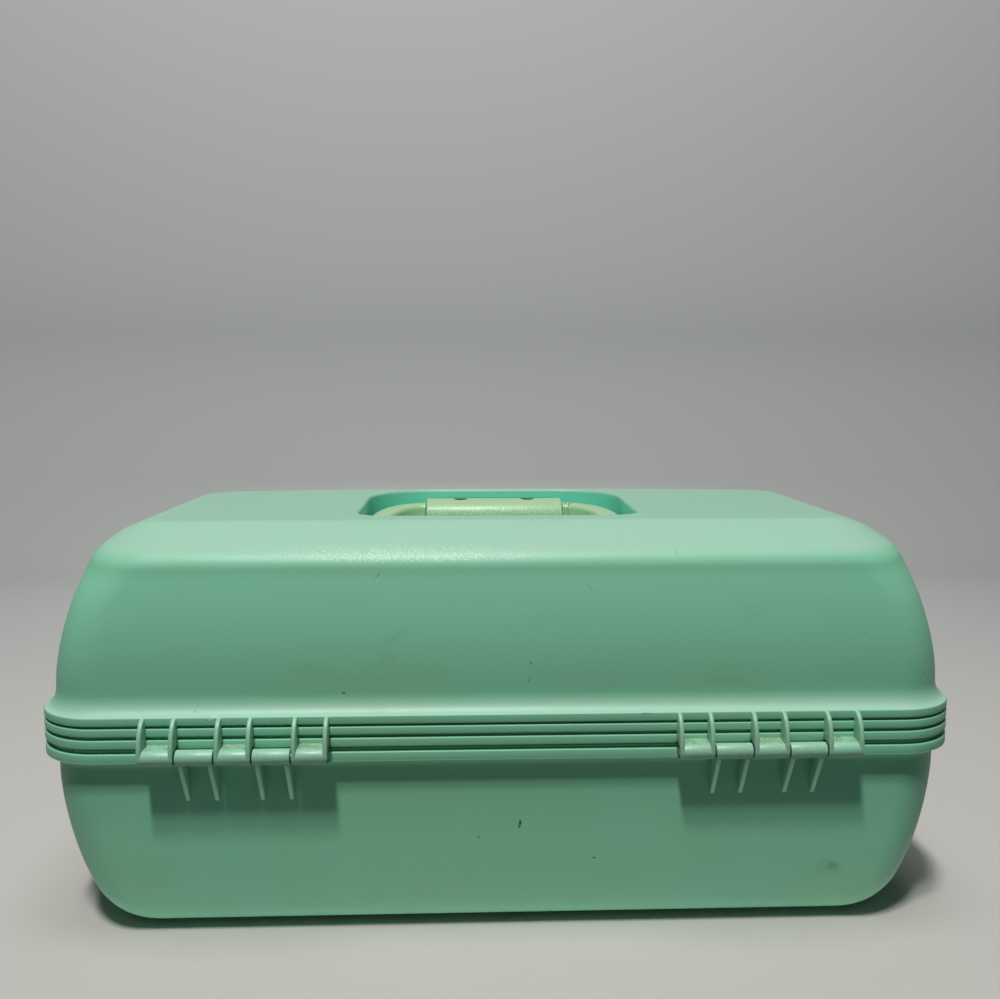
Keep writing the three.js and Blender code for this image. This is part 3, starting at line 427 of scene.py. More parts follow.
# Lid: one injection-moulded shell, domed at its ends and sloped at front and rear, with a well for the handle
# in its flat top and a rim of three bands. Its rim sits over the tongue of the base, and its outer skin rises
# a little towards the middle of its front edge.
rim_half_length, rim_half_depth, rim_reach = 171, 90.7, 4.5
wall_x, wall_y = rim_half_length - rim_reach, rim_half_depth - rim_reach
corner_radius, shell_wall, groove_depth = 20, 2.4, 1.7
corner_steps, edge_steps, side_steps = 14, 14, 8
wall_steps, shoulder_steps, brow_steps, flare_steps, crease = 16, 14, 8, 12, math.radians(32)
lid_bottom, lid_top, parting = 74.3, 151.6, 74
lid_bands = ((74.8, 78.0), (79.3, 82.2), (83.2, 86.3))
band_edge = 0.4
lid_flare = 7.1
side_face = {"draft": 6, "power": 2, "shoulder_drop": 8.8, "radius": 9, "inset": 31.2, "brow_reach": 4}
end_face = {"draft": 15, "power": 1.7, "shoulder_drop": 4.8, "radius": 18, "inset": 28.6, "brow_reach": 1.5}
corner_growth, top_corner_radius = 0.58, 8.5
well_half, well_front, well_rear = 58, -48.7, 38
well_front_radius, well_rear_radius = 28, 12
well_depth, well_wall, well_edge, well_fillet = 19, 2.2, 1.3, 2.2
tongue_top, tongue_out, tongue_play = 77.9, 0.2, 0.4
hold = 0.4
top_crown, crown_half_length, crown_foot, crown_start, crown_reach = 1.5, 160, 140, 30, 80
flat_rings, ceiling_fillet, well_foot = (0.35, 0.7, 0.97), 2, 1.5


def plan_loop(half_length, front, rear, front_radius, rear_radius, height):
    """Rounded outline at one height, counter-clockwise from above, always with the same number of points."""
    bends = []
    for quarter, side in enumerate((1, -1, -1, 1)):
        radius = rear_radius if quarter < 2 else front_radius
        middle_x = side * (half_length - radius)
        middle_y = rear - radius if quarter < 2 else front + radius
        angles = [(quarter + step / corner_steps) * math.pi / 2 for step in range(corner_steps + 1)]
        bends.append([(middle_x + radius * math.cos(a), middle_y + radius * math.sin(a)) for a in angles])
    outline = []
    for quarter, bend in enumerate(bends):
        start, end = bend[-1], bends[(quarter + 1) % 4][0]
        steps = side_steps if quarter % 2 else edge_steps
        outline += bend
        for share in (step / steps for step in range(1, steps)):
            outline.append((start[0] + (end[0] - start[0]) * share, start[1] + (end[1] - start[1]) * share))
    return [(x, y, height) for x, y in outline]


def wall_loop(height, out_x, out_y=None, growth=0):
    """Outline of the case at one height, moved outwards from its wall, with its corners grown."""
    out_y = out_x if out_y is None else out_y
    radius = corner_radius + max(out_x, out_y, -shell_wall) + growth
    return plan_loop(wall_x + out_x, -wall_y - out_y, wall_y + out_y, radius, radius, height)


def moulding(name, loops):
    """Closed skin over the loops, the first and last of them capped."""
    shape = bmesh.new()
    rows = [[shape.verts.new(Vector(point) * mm) for point in loop] for loop in loops]
    for row, following in zip(rows, rows[1:]):
        for i, corner in enumerate(row):
            j = (i + 1) % len(row)
            shape.faces.new((corner, row[j], following[j], following[i]))
    shape.faces.new(rows[0][::-1])
    shape.faces.new(rows[-1])
    return finished_mesh(name, shape)


def finished_mesh(name, shape):
    """Mesh of the shape with its doubles merged and its faces turned outwards."""
    bmesh.ops.remove_doubles(shape, verts=shape.verts, dist=1e-6)
    bmesh.ops.dissolve_degenerate(shape, edges=shape.edges, dist=1e-7)
    bmesh.ops.recalc_face_normals(shape, faces=shape.faces)
    mesh = bpy.data.meshes.new(name)
    shape.to_mesh(mesh)
    shape.free()
    return mesh


def joined(name, *meshes):
    """One mesh of all the given ones."""
    shape = bmesh.new()
    for mesh in meshes:
        shape.from_mesh(mesh)
        bpy.data.meshes.remove(mesh)
    mesh = bpy.data.meshes.new(name)
    shape.to_mesh(mesh)
    shape.free()
    return mesh


def piece(name, mesh, finish, body, replaced=None):
    """Puts the mesh in the scene as a piece on the body, in place of the nodes given or of its own name's."""
    mesh.name = name
    mesh.materials.clear()
    mesh.materials.append(finish)
    mesh.shade_smooth()
    mesh.set_sharp_from_angle(angle=crease)
    made = placed(name, mesh)
    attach(made, body)
    nodes = [name] if replaced is None else replaced
    if nodes:
        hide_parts(*nodes)


def quarter_turn(steps):
    """Pairs of 1 - sine and 1 - cosine over a quarter turn, for rounds and fillets."""
    angles = [step / steps * math.pi / 2 for step in range(steps + 1)]
    return [(1 - math.sin(angle), 1 - math.cos(angle)) for angle in angles]


def round_corner(before, corner, after, radius, steps):
    """Points of the round between two lines that meet at the corner."""
    before, corner, after = Vector(before), Vector(corner), Vector(after)
    one, two = (before - corner).normalized(), (after - corner).normalized()
    half = one.angle(two) / 2
    middle = corner + (one + two).normalized() * radius / math.sin(half)
    reach = radius / math.tan(half)
    start, end = corner + one * reach - middle, corner + two * reach - middle
    sweep = start.angle_signed(end)
    return [middle + Matrix.Rotation(-sweep * step / steps, 2) @ start for step in range(steps + 1)]


def face_profile(draft, power, shoulder_drop, radius, inset, brow_reach):
    """Profile of a lid face as (inset, height): a bowed wall, a round shoulder, a slope and a soft brow."""
    foot = lid_bands[-1][1] + lid_flare
    rise = lid_top - shoulder_drop - foot
    shoulder, brow = Vector((draft, foot + rise)), Vector((inset, lid_top))
    bend = round_corner(shoulder - Vector((draft * power, rise)), shoulder, brow, radius, shoulder_steps)
    shares = [(bend[0].y - foot) / rise * step / wall_steps for step in range(wall_steps)]
    turn = math.atan2(shoulder_drop, inset - draft)
    soft = round_corner(shoulder, brow, brow + Vector((1, 0)), brow_reach / math.tan(turn / 2), brow_steps)
    return [Vector((draft * share**power, foot + rise * share)) for share in shares] + bend + soft


def inset_at(profile, height):
    for start, end in zip(profile, profile[1:]):
        if height <= end.y:
            return start.x + (end.x - start.x) * (height - start.y) / max(end.y - start.y, 1e-9)
    return profile[-1].x


def lid_levels():
    """Heights of the lid above its flare with how far its ends and its front and rear are drawn in."""
    side, end = face_profile(**side_face), face_profile(**end_face)
    kept = [side[0].y]
    for height in sorted(point.y for point in side + end):
        if height - kept[-1] > 0.02 and height < lid_top - 0.01:
            kept.append(height)
    levels = [(height, inset_at(end, height), inset_at(side, height)) for height in kept]
    return levels + [(lid_top, end[-1].x, side[-1].x)]


def corner_grown(end):
    """How much wider than the rim's a corner of the lid turns, where its end is drawn in so far."""
    draft = end_face["draft"]
    grown = min(end, draft) * corner_growth
    sharpened = max(end - draft, 0) / (end_face["inset"] + end_face["brow_reach"] - draft)
    return grown + (top_corner_radius - (corner_radius - shell_wall) - grown) * min(sharpened, 1)


def well_loop(grow, height):
    return plan_loop(well_half + grow, well_front - grow, well_rear + grow,
                     well_front_radius + grow, well_rear_radius + grow, height)


def crowned(point):
    """The point of the lid's top, raised a little towards the middle of the front edge."""
    x, y, z = point
    forward = min(max((crown_start - y) / crown_reach, 0), 1)
    swell = max(1 - (x / crown_half_length) ** 2, 0) * forward**2 * (3 - 2 * forward)
    return x, y, z + top_crown * swell * max(z - crown_foot, 0) / (lid_top - crown_foot)


def between(loop, other, share):
    return [tuple(a + (b - a) * share for a, b in zip(p, q)) for p, q in zip(loop, other)]


def band_loops(bands, rising):
    """Rim bands from the lowest to the highest, each with softened edges, and the grooves between them."""
    loops = []
    for i, (low, high) in enumerate(bands):
        loops += [(low + band_edge * c, rim_reach - band_edge * s) for s, c in quarter_turn(3)]
        loops += [(high - band_edge * s, rim_reach - band_edge * c) for s, c in quarter_turn(3)]
        if i + 1 < len(bands):
            loops += [(high, rim_reach - groove_depth), (bands[i + 1][0], rim_reach - groove_depth)]
    return loops if rising else loops[::-1]


well_floor = lid_top - well_depth
loops = [well_loop(-well_fillet - hold, well_floor)]
loops += [well_loop(-well_fillet * s, well_floor + well_fillet * c) for s, c in quarter_turn(6)]
loops += [well_loop(well_edge * c, lid_top - well_edge * s) for s, c in quarter_turn(6)]
levels = lid_levels()
dome = [wall_loop(height, -end, -side, corner_grown(end)) for height, end, side in reversed(levels)]
loops.append(well_loop(well_edge + hold, lid_top))
loops += [between(loops[-1], dome[0], share) for share in flat_rings] + dome
loops = [[crowned(point) for point in loop] for loop in loops]
rim_top = lid_bands[-1][1]
loops += [wall_loop(rim_top + lid_flare * c, rim_reach * s) for s, c in quarter_turn(flare_steps)[-2:0:-1]]
loops += [wall_loop(height, out) for height, out in band_loops(lid_bands, rising=False)]
loops += [
    wall_loop(lid_bands[0][0], rim_reach - groove_depth),
    wall_loop(lid_bottom, rim_reach - groove_depth),
    wall_loop(lid_bottom, tongue_out + tongue_play),
    wall_loop(tongue_top, tongue_out + tongue_play),
    wall_loop(tongue_top, -shell_wall),
]
inside = [wall_loop(height - shell_wall, -end - shell_wall, -side - shell_wall, corner_grown(end))
          for height, end, side in levels]
loops += inside[:-1:2] + [inside[-1]]
ceiling = lid_top - shell_wall
loops += [between(loops[-1], well_loop(well_wall + 3, ceiling), share) for share in (0.5, 1)]
loops += [well_loop(well_wall + ceiling_fillet * s, ceiling - ceiling_fillet * c) for s, c in quarter_turn(4)]
under_well = well_floor - well_wall
loops += [well_loop(well_wall, under_well + well_foot), well_loop(well_wall - well_foot, under_well)]
lid_mesh = moulding("lid", loops)

# Base: one moulded bowl with round ends, a straight hinge side and a rim band whose inner edge stands up as
# the tongue that the lid closes over. Four low feet are moulded under its flat bottom.
base_bottom, base_band = 3, (69.5, 72.9)
base_end_inset, base_end_rise, base_end_power = 22.4, 58.1, 1.59
base_front_inset, base_front_rise, base_front_power = 11.8, 33.8, 2.19
base_flare, tongue_rise, tongue_edge, bowl_steps = 4, 77.2, 0.4, 40


def draw_in(share, inset, power):
    """Superellipse: nothing at share 0, the whole inset at share 1."""
    share = min(max(share, 0), 1)
    return inset * (1 - (1 - share**power) ** (1 / power))


bowl = []
for _, share in quarter_turn(bowl_steps):
    rise = base_end_rise * share
    bowl.append((
        base_bottom + rise,
        -draw_in(1 - rise / base_end_rise, base_end_inset, base_end_power),
        -draw_in(1 - rise / base_front_rise, base_front_inset, base_front_power),
    ))
loops = [wall_loop(base_bottom, bowl[0][1] - hold, bowl[0][2] - hold)] + [wall_loop(*level) for level in bowl]
loops += [wall_loop(base_band[0] - base_flare * s, rim_reach * c) for s, c in quarter_turn(8)]
loops += [wall_loop(height, out) for height, out in band_loops([base_band], rising=True)[2:]]
loops += [
    wall_loop(base_band[1], rim_reach - groove_depth),
    wall_loop(parting, rim_reach - groove_depth),
    wall_loop(parting, tongue_out),
    wall_loop(tongue_rise - tongue_edge, tongue_out),
    wall_loop(tongue_rise, tongue_out - tongue_edge),
    wall_loop(tongue_rise, -shell_wall),
]
loops += [wall_loop(z + shell_wall, out_x - shell_wall, out_y - shell_wall) for z, out_x, out_y in bowl[::-2]]
base_mesh = moulding("base", loops)

# Hinges: two on the rear rim, moulded with the shells. On the lid, three knuckles, each between two
# quarter-round fins; on the base, two between them, each on two tapered gussets. A steel pin is pressed
# through each row.
hinge_y, hinge_z, hinge_middle, knuckle_pitch = 94.6, 73.1, 95.8, 26.9
barrel_radius, bore_radius, pin_radius, rod_edge = 2.8, 1.5, 1.2, 0.3
fin_thickness, fin_reach, fin_edge, root = 1.6, 6.7, 0.5, 0.8
lid_knuckle_half, base_knuckle_half = 6.35, 6.6
web_rise, web_corner = 1.3, 0.6
gusset_inset, gusset_drop, gusset_edge = 0.6, 19.5, 0.4
rim_face = rim_half_depth


soft_edge, bevel_from, rim_share = 0.35, math.radians(30), 0.3


def slab(name, outline, start, end, edge=soft_edge, segments=2):
    """Plate with the given outline in Y and Z, from one X to another, with rounded edges."""
    shape = bmesh.new()
    face = shape.faces.new([shape.verts.new(Vector((start, y, z)) * mm) for y, z in outline])
    pushed = bmesh.ops.extrude_face_region(shape, geom=[face])["geom"]
    shift = Vector((end - start, 0, 0)) * mm
    bmesh.ops.translate(shape, vec=shift, verts=[v for v in pushed if isinstance(v, bmesh.types.BMVert)])
    bmesh.ops.recalc_face_normals(shape, faces=shape.faces)
    if edge:
        sharp = [e for e in shape.edges if e.calc_face_angle(0) > bevel_from]
        bmesh.ops.bevel(shape, geom=sharp, offset=edge * mm, segments=segments, profile=0.5, affect="EDGES",
                        clamp_overlap=True)
    return finished_mesh(name, shape)


def upright_box(rear, low, front, high):
    return [(rear, low), (front, low), (front, high), (rear, high)]


def turned_part(name, profile, place, axis="X", sides=48):
    """Round part turned about an axis from (distance, radius) pairs; a closed ring if no radius is 0."""
    shape = bmesh.new()
    rows = []
    for distance, radius in profile:
        row = []
        for side in range(sides if radius else 1):
            angle = side / sides * math.tau
            across = (radius * math.cos(angle), radius * math.sin(angle))
            point = (distance, *across) if axis == "X" else (*across, distance)
            row.append(shape.verts.new((Vector(place) + Vector(point)) * mm))
        rows.append(row)
    closed = profile[0][1] > 0 and profile[-1][1] > 0
    pairs = list(zip(rows, rows[1:])) + ([(rows[-1], rows[0])] if closed else [])
    for row, following in pairs:
        for side in range(sides):
            other = (side + 1) % sides
            corners = [row[side % len(row)], row[other % len(row)],
                       following[other % len(following)], following[side % len(following)]]
            kept = [corner for i, corner in enumerate(corners) if corner not in corners[:i]]
            if len(kept) > 2:
                shape.faces.new(kept)
    return finished_mesh(name, shape)


def barrel(name, half, y, z, radius, bore, edge=soft_edge):
    """Knuckle barrel along X with a bore and rounded rims."""
    rim, part = radius - edge, edge * rim_share
    start = [(bore, 0), (rim, 0), (radius - part, part), (radius, edge)]
    profile = [(cut_in - half, around) for around, cut_in in start]
    profile += [(half - cut_in, around) for around, cut_in in start[::-1]]
    return turned_part(name, profile, (0, y, z))


def rod(name, start, end, radius, place, edge=0.0, sides=48):
    """Round rod along X between two places, with chamfered ends where an edge is given."""
    inwards = math.copysign(edge, end - start)
    profile = [(start, 0), (start, radius - edge), (end, radius - edge), (end, 0)]
    if edge:
        profile[2:2] = [(start + inwards, radius), (end - inwards, radius)]
    return turned_part(name, profile, place, sides=sides)


def row_tree():
    """Tree that sets copies of a piece in a row, and the row in rows, as a mould repeats it."""
    tree = bpy.data.node_groups.new("rows_of_copies", "GeometryNodeTree")
    kinds = {"Piece": "Geometry", "First": "Vector", "Step": "Vector", "Count": "Int", "Row Step": "Vector",
             "Rows": "Int", "Finish": "Material"}
    for label, kind in kinds.items():
        tree.interface.new_socket(label, in_out="INPUT", socket_type="NodeSocket" + kind)
    tree.interface.new_socket("Copies", in_out="OUTPUT", socket_type="NodeSocketGeometry")
    ins = laid(tree, "NodeGroupInput").outputs

    def step_of(kind, wired, **settings):
        return laid(tree, "GeometryNode" + kind, wired, **settings).outputs[0]

    row = {"Count": ins["Count"], "Start Location": ins["First"], "Offset": ins["Step"]}
    line = step_of("MeshLine", row, mode="OFFSET")
    starts = step_of("MeshLine", {"Count": ins["Rows"], "Offset": ins["Row Step"]}, mode="OFFSET")
    rows = step_of("InstanceOnPoints", {"Points": starts, "Instance": line})
    places = step_of("RealizeInstances", {"Geometry": rows})
    copied = step_of("InstanceOnPoints", {"Points": places, "Instance": ins["Piece"]})
    plain = step_of("RealizeInstances", {"Geometry": copied})
    dressed = step_of("SetMaterial", {"Geometry": plain, "Material": ins["Finish"]})
    laid(tree, "NodeGroupOutput", {"Copies": dressed})
    return tree


def worked_mesh(holder, *others):
    """Plain mesh of the object after its modifiers; the object and its helpers then leave the scene."""
    bpy.context.view_layer.update()
    graph = bpy.context.evaluated_depsgraph_get()
    made = bpy.data.meshes.new_from_object(holder.evaluated_get(graph))
    for thing in (holder, *others):
        bpy.data.objects.remove(thing)
    return made


def through_tree(mesh, tree, **values):
    """Plain mesh that the tree makes of the given one."""
    holder = placed(mesh.name, mesh)
    nodes = holder.modifiers.new("made", "NODES")
    nodes.node_group = tree
    labels = {item.name: item.identifier for item in tree.interface.items_tree if item.in_out == "INPUT"}
    for label, value in values.items():
        nodes[labels[label.replace("_", " ")]] = value
    return worked_mesh(holder)


rows_of_copies = row_tree()


def copies(mesh, finish, first, step=(0, 0, 0), count=1, row_step=(0, 0, 0), rows=1):
    """The mesh repeated by the tree, with places and steps in millimetres."""
    return through_tree(mesh, rows_of_copies, First=Vector(first) * mm, Step=Vector(step) * mm, Count=count,
                        Row_Step=Vector(row_step) * mm, Rows=rows, Finish=finish)


def at_four(mesh, finish, x, y, z=0):
    """The mesh at the four corners of a rectangle around the middle."""
    return copies(mesh, finish, (-x, -y, z), (2 * x, 0, 0), 2, (0, 2 * y, 0), 2)


def arc_points(y, z, radius, start, end, steps):
    angles = [math.radians(start + (end - start) * step / steps) for step in range(steps + 1)]
    return [(y + radius * math.cos(a), z + radius * math.sin(a)) for a in angles]


fin = [(rim_face - root, lid_bands[0][0]), (rim_face - root, rim_top)]
fin_rise = rim_top - hinge_z
fin += [(rim_face + fin_reach * (1 - s), hinge_z + fin_rise * (1 - c)) for s, c in quarter_turn(18)]
fin += arc_points(hinge_y, hinge_z, barrel_radius, -15, -180, 14)
web = [(rim_face - root, lid_bands[0][0])]
web += arc_points(hinge_y, hinge_z, barrel_radius, -180, -270, 10)
web_top = lid_bands[0][0] + web_rise
web += [(rim_face + web_corner, web_top), (rim_face - root, web_top + web_corner)]
lid_knuckle = joined(
    "lid_knuckle",
    barrel("barrel", lid_knuckle_half, hinge_y, hinge_z, barrel_radius, bore_radius),
    slab("web", web, -lid_knuckle_half, lid_knuckle_half),
    slab("fin", fin, -lid_knuckle_half, -lid_knuckle_half + fin_thickness, fin_edge, 3),
    slab("fin", fin, lid_knuckle_half - fin_thickness, lid_knuckle_half, fin_edge, 3),
)
under = [(rim_face - root, base_band[0] + root)]
under += arc_points(hinge_y, hinge_z, barrel_radius, -120, 30, 12)
under += [(rim_face - root, base_band[1])]
gusset = [(hinge_y + barrel_radius / 2, hinge_z), (rim_face - root, base_band[1]),
          (wall_y - root, base_band[0] - base_flare), (wall_y - root, hinge_z - gusset_drop),
          (wall_y + 0.1, hinge_z - gusset_drop), (wall_y + root, hinge_z - gusset_drop + 0.8),
          (hinge_y + barrel_radius / 2, hinge_z - barrel_radius * 0.85)]
near, far = base_knuckle_half - gusset_inset - fin_thickness, base_knuckle_half - gusset_inset
base_knuckle = joined(
    "base_knuckle",
    barrel("barrel", base_knuckle_half, hinge_y, hinge_z, barrel_radius, bore_radius),
    slab("web", under, -base_knuckle_half, base_knuckle_half),
    slab("gusset", gusset, -far, -near, gusset_edge, 2),
    slab("gusset", gusset, near, far, gusset_edge, 2),
)

# The browns are dirt; the pale mint, for the front edges of the gussets, is painted light.
brown_dirt, web_brown, gusset_light_mint = (0.11, 0.075, 0.03, 1), (0.17, 0.16, 0.05, 1), (0.52, 0.92, 0.72, 1)
hinge_tint, hinge_aged = (0.285, 0.56, 0.41, 1), (0.285, 0.53, 0.38, 1)
gusset_slope = (gusset[-1][0] - gusset[-2][0]) / (gusset[-1][1] - gusset[-2][1])
gusset_front = (gusset[-1][0] - gusset_slope * gusset[-1][1]) * mm


@mask_group
def web_dirt(tree):
    """Brown dirt that gathers where the knuckle webs meet the rim between the fins."""
    ragged = product(tree, noise(tree, 1.4, 4.0, 0.7), 0.0035)
    near = spread(tree, reckoned(tree, "ADD", along(tree, "Y"), ragged), 0.0948, 0.0980, 1.0, 0.0)
    coarse = grains(tree, 5, 0.36, 0.60, least=0.35)
    speckled = product(tree, grains(tree, 0.6, 0.40, 0.64, 2.0, 0.6, 0.2), coarse)
    return product(tree, band(tree, "Z", 73.8, 75.8, 77.5, 79.0), near, speckled, 0.9)


@mask_group
def barrel_dirt(tree):
    """Grey-brown speckles under the knuckle barrels, where hands leave them."""
    low = product(tree, band(tree, "Z", 69.7, 70.3, 70.8, 72.7), rising(tree, "Y", 91.5, 94.0))
    return product(tree, low, grains(tree, 1.1, 0.47, 0.68, 3.0, 0.7), 0.6)


@mask_group
def gusset_light_and_flecks(tree):
    """Painted light: the sloping front edges of the gussets are painted pale, for the light they catch, and
    the barrels have fine pale flecks.
    """
    front = reckoned(tree, "SUBTRACT", along(tree, "Y"), product(tree, along(tree, "Z"), gusset_slope))
    edge = spread(tree, front, gusset_front - 0.0009, gusset_front - 0.0002)
    edge = product(tree, edge, falling(tree, "Z", 70.0, 70.6), 0.85)
    flecks = product(tree, grains(tree, 0.7, 0.56, 0.68, 2.0, 0.6), rising(tree, "Z", 70.6, 71.6), 0.35)
    return reckoned(tree, "MAXIMUM", edge, flecks)


def steel_finish(name, colour, roughness, rust_share):
    """Drawn steel, dulled, with rust in patches."""
    finish, tree, shader = new_finish(name)
    patches = grains(tree, 2.4, 0.72 - rust_share * 0.35, 0.80 - rust_share * 0.3, 4.0, 0.65)
    bright = blended(tree, noise(tree, 0.7), colour, tuple(c * 0.8 for c in colour[:3]) + (1,))
    feed(tree, shader["Base Color"], blended(tree, patches, bright, rust))
    feed(tree, shader["Metallic"], spread(tree, patches, 0.0, 1.0, 1.0, 0.1))
    feed(tree, shader["Roughness"], spread(tree, patches, 0.0, 1.0, roughness, 0.85))
    textured(tree, shader, 0.0004, 0.00002)
    return finish


# The gussets' pale front edges are painted light; the speckles under the barrels are dirt.
lit_gussets, under_barrels = (gusset_light_and_flecks, gusset_light_mint), (barrel_dirt, brown_dirt)
hinge_mint = plastic("hinge_mint", hinge_tint, hinge_aged, roughness=0.41, grain=0.0006, depth=0.00003,
                     grime_and_light=(lit_gussets, under_barrels))
knuckle_mint = plastic("knuckle_mint", hinge_tint, hinge_aged, roughness=0.39, grain=0.0006, depth=0.00003,
                       grime_and_light=(lit_gussets, (web_dirt, web_brown), under_barrels))
pin_steel = steel_finish("pin_steel", (0.56, 0.56, 0.54, 1), roughness=0.35, rust_share=0.5)
hinge_steel = steel_finish("hinge_steel", (0.42, 0.40, 0.36, 1), roughness=0.45, rust_share=0.95)

first_knuckle = hinge_middle - knuckle_pitch
hinge_apart = hinge_middle * 2
lid_knuckles = copies(lid_knuckle, knuckle_mint, (first_knuckle, 0, 0), (knuckle_pitch, 0, 0), 3,
                      (-hinge_apart, 0, 0), 2)
base_knuckles = copies(base_knuckle, hinge_mint, (first_knuckle + knuckle_pitch / 2, 0, 0),
                       (knuckle_pitch, 0, 0), 2, (-hinge_apart, 0, 0), 2)
pin_half = knuckle_pitch + lid_knuckle_half - rod_edge

# Handle: a U-shaped moulding in a paler plastic than the case, on two steel pins in the sides of the well.
# A sleeve of two halves, closed by two screws from above, covers its bar. It lies folded in the well.
axis_y, axis_z, arm_middle = 14, 140, 51.5
grip_y, grip_z = -35.4, 142.85
bow_width, bow_length, bow_steps, arm_steps, section_steps, sleeve_steps = 18.5, 32.5, 24, 6, 6, 48
arm_half_width, arm_half_height, arm_round = 4.8, 5, 2.3
bar_half, bar_round, bar_drop = 3, 1.2, 1.5
arm_end, arm_end_round, shoulder_x, shoulder_edge = 5, 2, 32.6, 0.4
collar_grooves, groove_half_turn, groove_cut = (77.5, 85.6), 0.9, 0.8
sleeve_half, sleeve_width, sleeve_height, sleeve_power, sleeve_edge = 31.9, 21.4, 14.5, 2.25, 0.55
seam, channel_half = 0.3, 3.3
screw_x, screw_head, screw_shaft, screw_head_height, screw_length = 16, 3, 1.5, 1.5, 9.2
screw_top, screw_hole, screw_bore, screw_seat, bore_end = 147.7, 3.3, 1.8, 145.9, 136.4
rim_depth, rim_growth, past_face = 0.45, 0.4, 2
recess_share, recess_half, recess_depth, recess_above = 0.55, 0.36, 0.9, 0.5
head_round, thread_pitch, thread_root = ((0, 0.55), (0.12, 0.8), (0.45, 0.97), (1, 1)), 0.7, 0.8
hands = (("left", -1), ("right", 1))


def bow_loop(place, direction, shrink=0, size=(arm_half_width, arm_half_height, arm_round), drop=0):
    """Rounded section of the bow at one place of its path, square to its direction."""
    x, y = place
    half_width, half_height, rounding = (measure - shrink for measure in size)
    slope = (grip_z - axis_z) / (axis_y - grip_y)
    z = axis_z + slope * (axis_y - y) - drop
    points = []
    for quarter, (side, rise) in enumerate(((1, 1), (-1, 1), (-1, -1), (1, -1))):
        for step in range(section_steps + 1):
            angle = (quarter + step / section_steps) * math.pi / 2
            across = side * (half_width - rounding) + rounding * math.cos(angle)
            up = rise * (half_height - rounding) + rounding * math.sin(angle)
            points.append((x - direction[1] * across, y + direction[0] * across, z + up))
    return points


def half_bow(side, grooves):
    """Sections of one half of the bow, from its rounded end behind the pin to its bar."""
    back, straight_end = axis_y + arm_end, grip_y + bow_length
    loops = [bow_loop((arm_middle, back - arm_end_round * c), (0, -1), arm_end_round * s)
             for s, c in quarter_turn(6)]
    start = back - arm_end_round
    reach = straight_end - start
    loops += [bow_loop((arm_middle, start + reach * step / arm_steps), (0, -1))
              for step in range(1, arm_steps)]
    turns = {90 * step / bow_steps: 0 for step in range(bow_steps + 1)}
    for groove in grooves:
        for turn in [turn for turn in turns if abs(turn - groove) < 2 * groove_half_turn]:
            del turns[turn]
        turns.update({groove - groove_half_turn * 1.3: 0, groove - groove_half_turn: groove_cut,
                      groove + groove_half_turn: groove_cut, groove + groove_half_turn * 1.3: 0})
    for turn in sorted(turns):
        angle = math.radians(turn)
        place = (arm_middle - bow_width * (1 - math.cos(angle)), straight_end - bow_length * math.sin(angle))
        heading = Vector((-bow_width * math.sin(angle), -bow_length * math.cos(angle))).normalized()
        loops.append(bow_loop(place, heading, turns[turn]))
    loops.append(bow_loop((shoulder_x + 0.1, grip_y), (-1, 0)))
    loops.append(bow_loop((shoulder_x, grip_y), (-1, 0), shoulder_edge))
    loops.append(bow_loop((shoulder_x, grip_y), (-1, 0), 0, (bar_half, bar_half, bar_round), bar_drop))
    return [[(side * x, y, z) for x, y, z in loop] for loop in loops]


def cut(mesh, *cutters):
    """The mesh with the cutters taken out of it."""
    holder, others = placed(mesh.name, mesh), [placed(cutter.name, cutter) for cutter in cutters]
    for other in others:
        taken = holder.modifiers.new("cut", "BOOLEAN")
        taken.operation, taken.solver, taken.object = "DIFFERENCE", "EXACT", other
    return worked_mesh(holder, *others)


def screw_mesh(name, head_radius, head_height, radius, length, up):
    """Pan-head screw along Z with a cross recess, the middle of its head's top at the origin."""
    profile = [(0, 0), *[(-head_height * drop, head_radius * share) for drop, share in head_round],
               (-head_height, radius)]
    turns = int(length / thread_pitch)
    pitch = length / turns
    for turn in range(turns):
        start = -head_height - length * turn / turns
        profile += [(start - pitch * 0.35, radius), (start - pitch * 0.7, radius * thread_root)]
    profile += [(-head_height - length, radius * 0.7), (-head_height - length, 0)]
    body = turned_part(name, [(up * distance, around) for distance, around in profile], (0, 0, 0), "Z", 32)
    reach, low, high = head_radius * recess_share, -up * recess_depth, up * recess_above
    return cut(body, *[slab("slot", upright_box(-half_y, low, half_y, high), -half_x, half_x, 0)
                       for half_x, half_y in ((reach, recess_half), (recess_half, reach))])


def sleeve_outline(upper):
    """Half of the sleeve's section with the channel for the bar, as points in Y and Z."""
    outline = []
    for step in range(sleeve_steps + 1):
        angle = step / sleeve_steps * math.pi
        y = math.copysign(abs(math.cos(angle)) ** (2 / sleeve_power), math.cos(angle)) * sleeve_width / 2
        z = math.sin(angle) ** (2 / sleeve_power) * sleeve_height / 2
        if z > seam / 2 or step in (0, sleeve_steps):
            outline.append((grip_y + y, grip_z + upper * max(z, seam / 2)))
    face, bar_z = grip_z + upper * seam / 2, grip_z - bar_drop
    deep = bar_z + upper * channel_half
    return outline + [(grip_y - channel_half, face), (grip_y - channel_half, deep),
                      (grip_y + channel_half, deep), (grip_y + channel_half, face)]


def screw_well(side, upper):
    """Cutter for one stepped screw hole in a sleeve half, with a softened rim."""
    top = grip_z + sleeve_height / 2
    profile = [(bore_end, 0), (bore_end, screw_bore), (screw_seat, screw_bore)]
    if upper:
        profile += [(screw_seat, screw_hole), (top - rim_depth, screw_hole), (top, screw_hole + rim_growth),
                    (top + past_face, screw_hole + past_face)]
    profile.append((profile[-1][0], 0))
    return turned_part("screw_well", profile, (side * screw_x, grip_y, 0), "Z", 40)


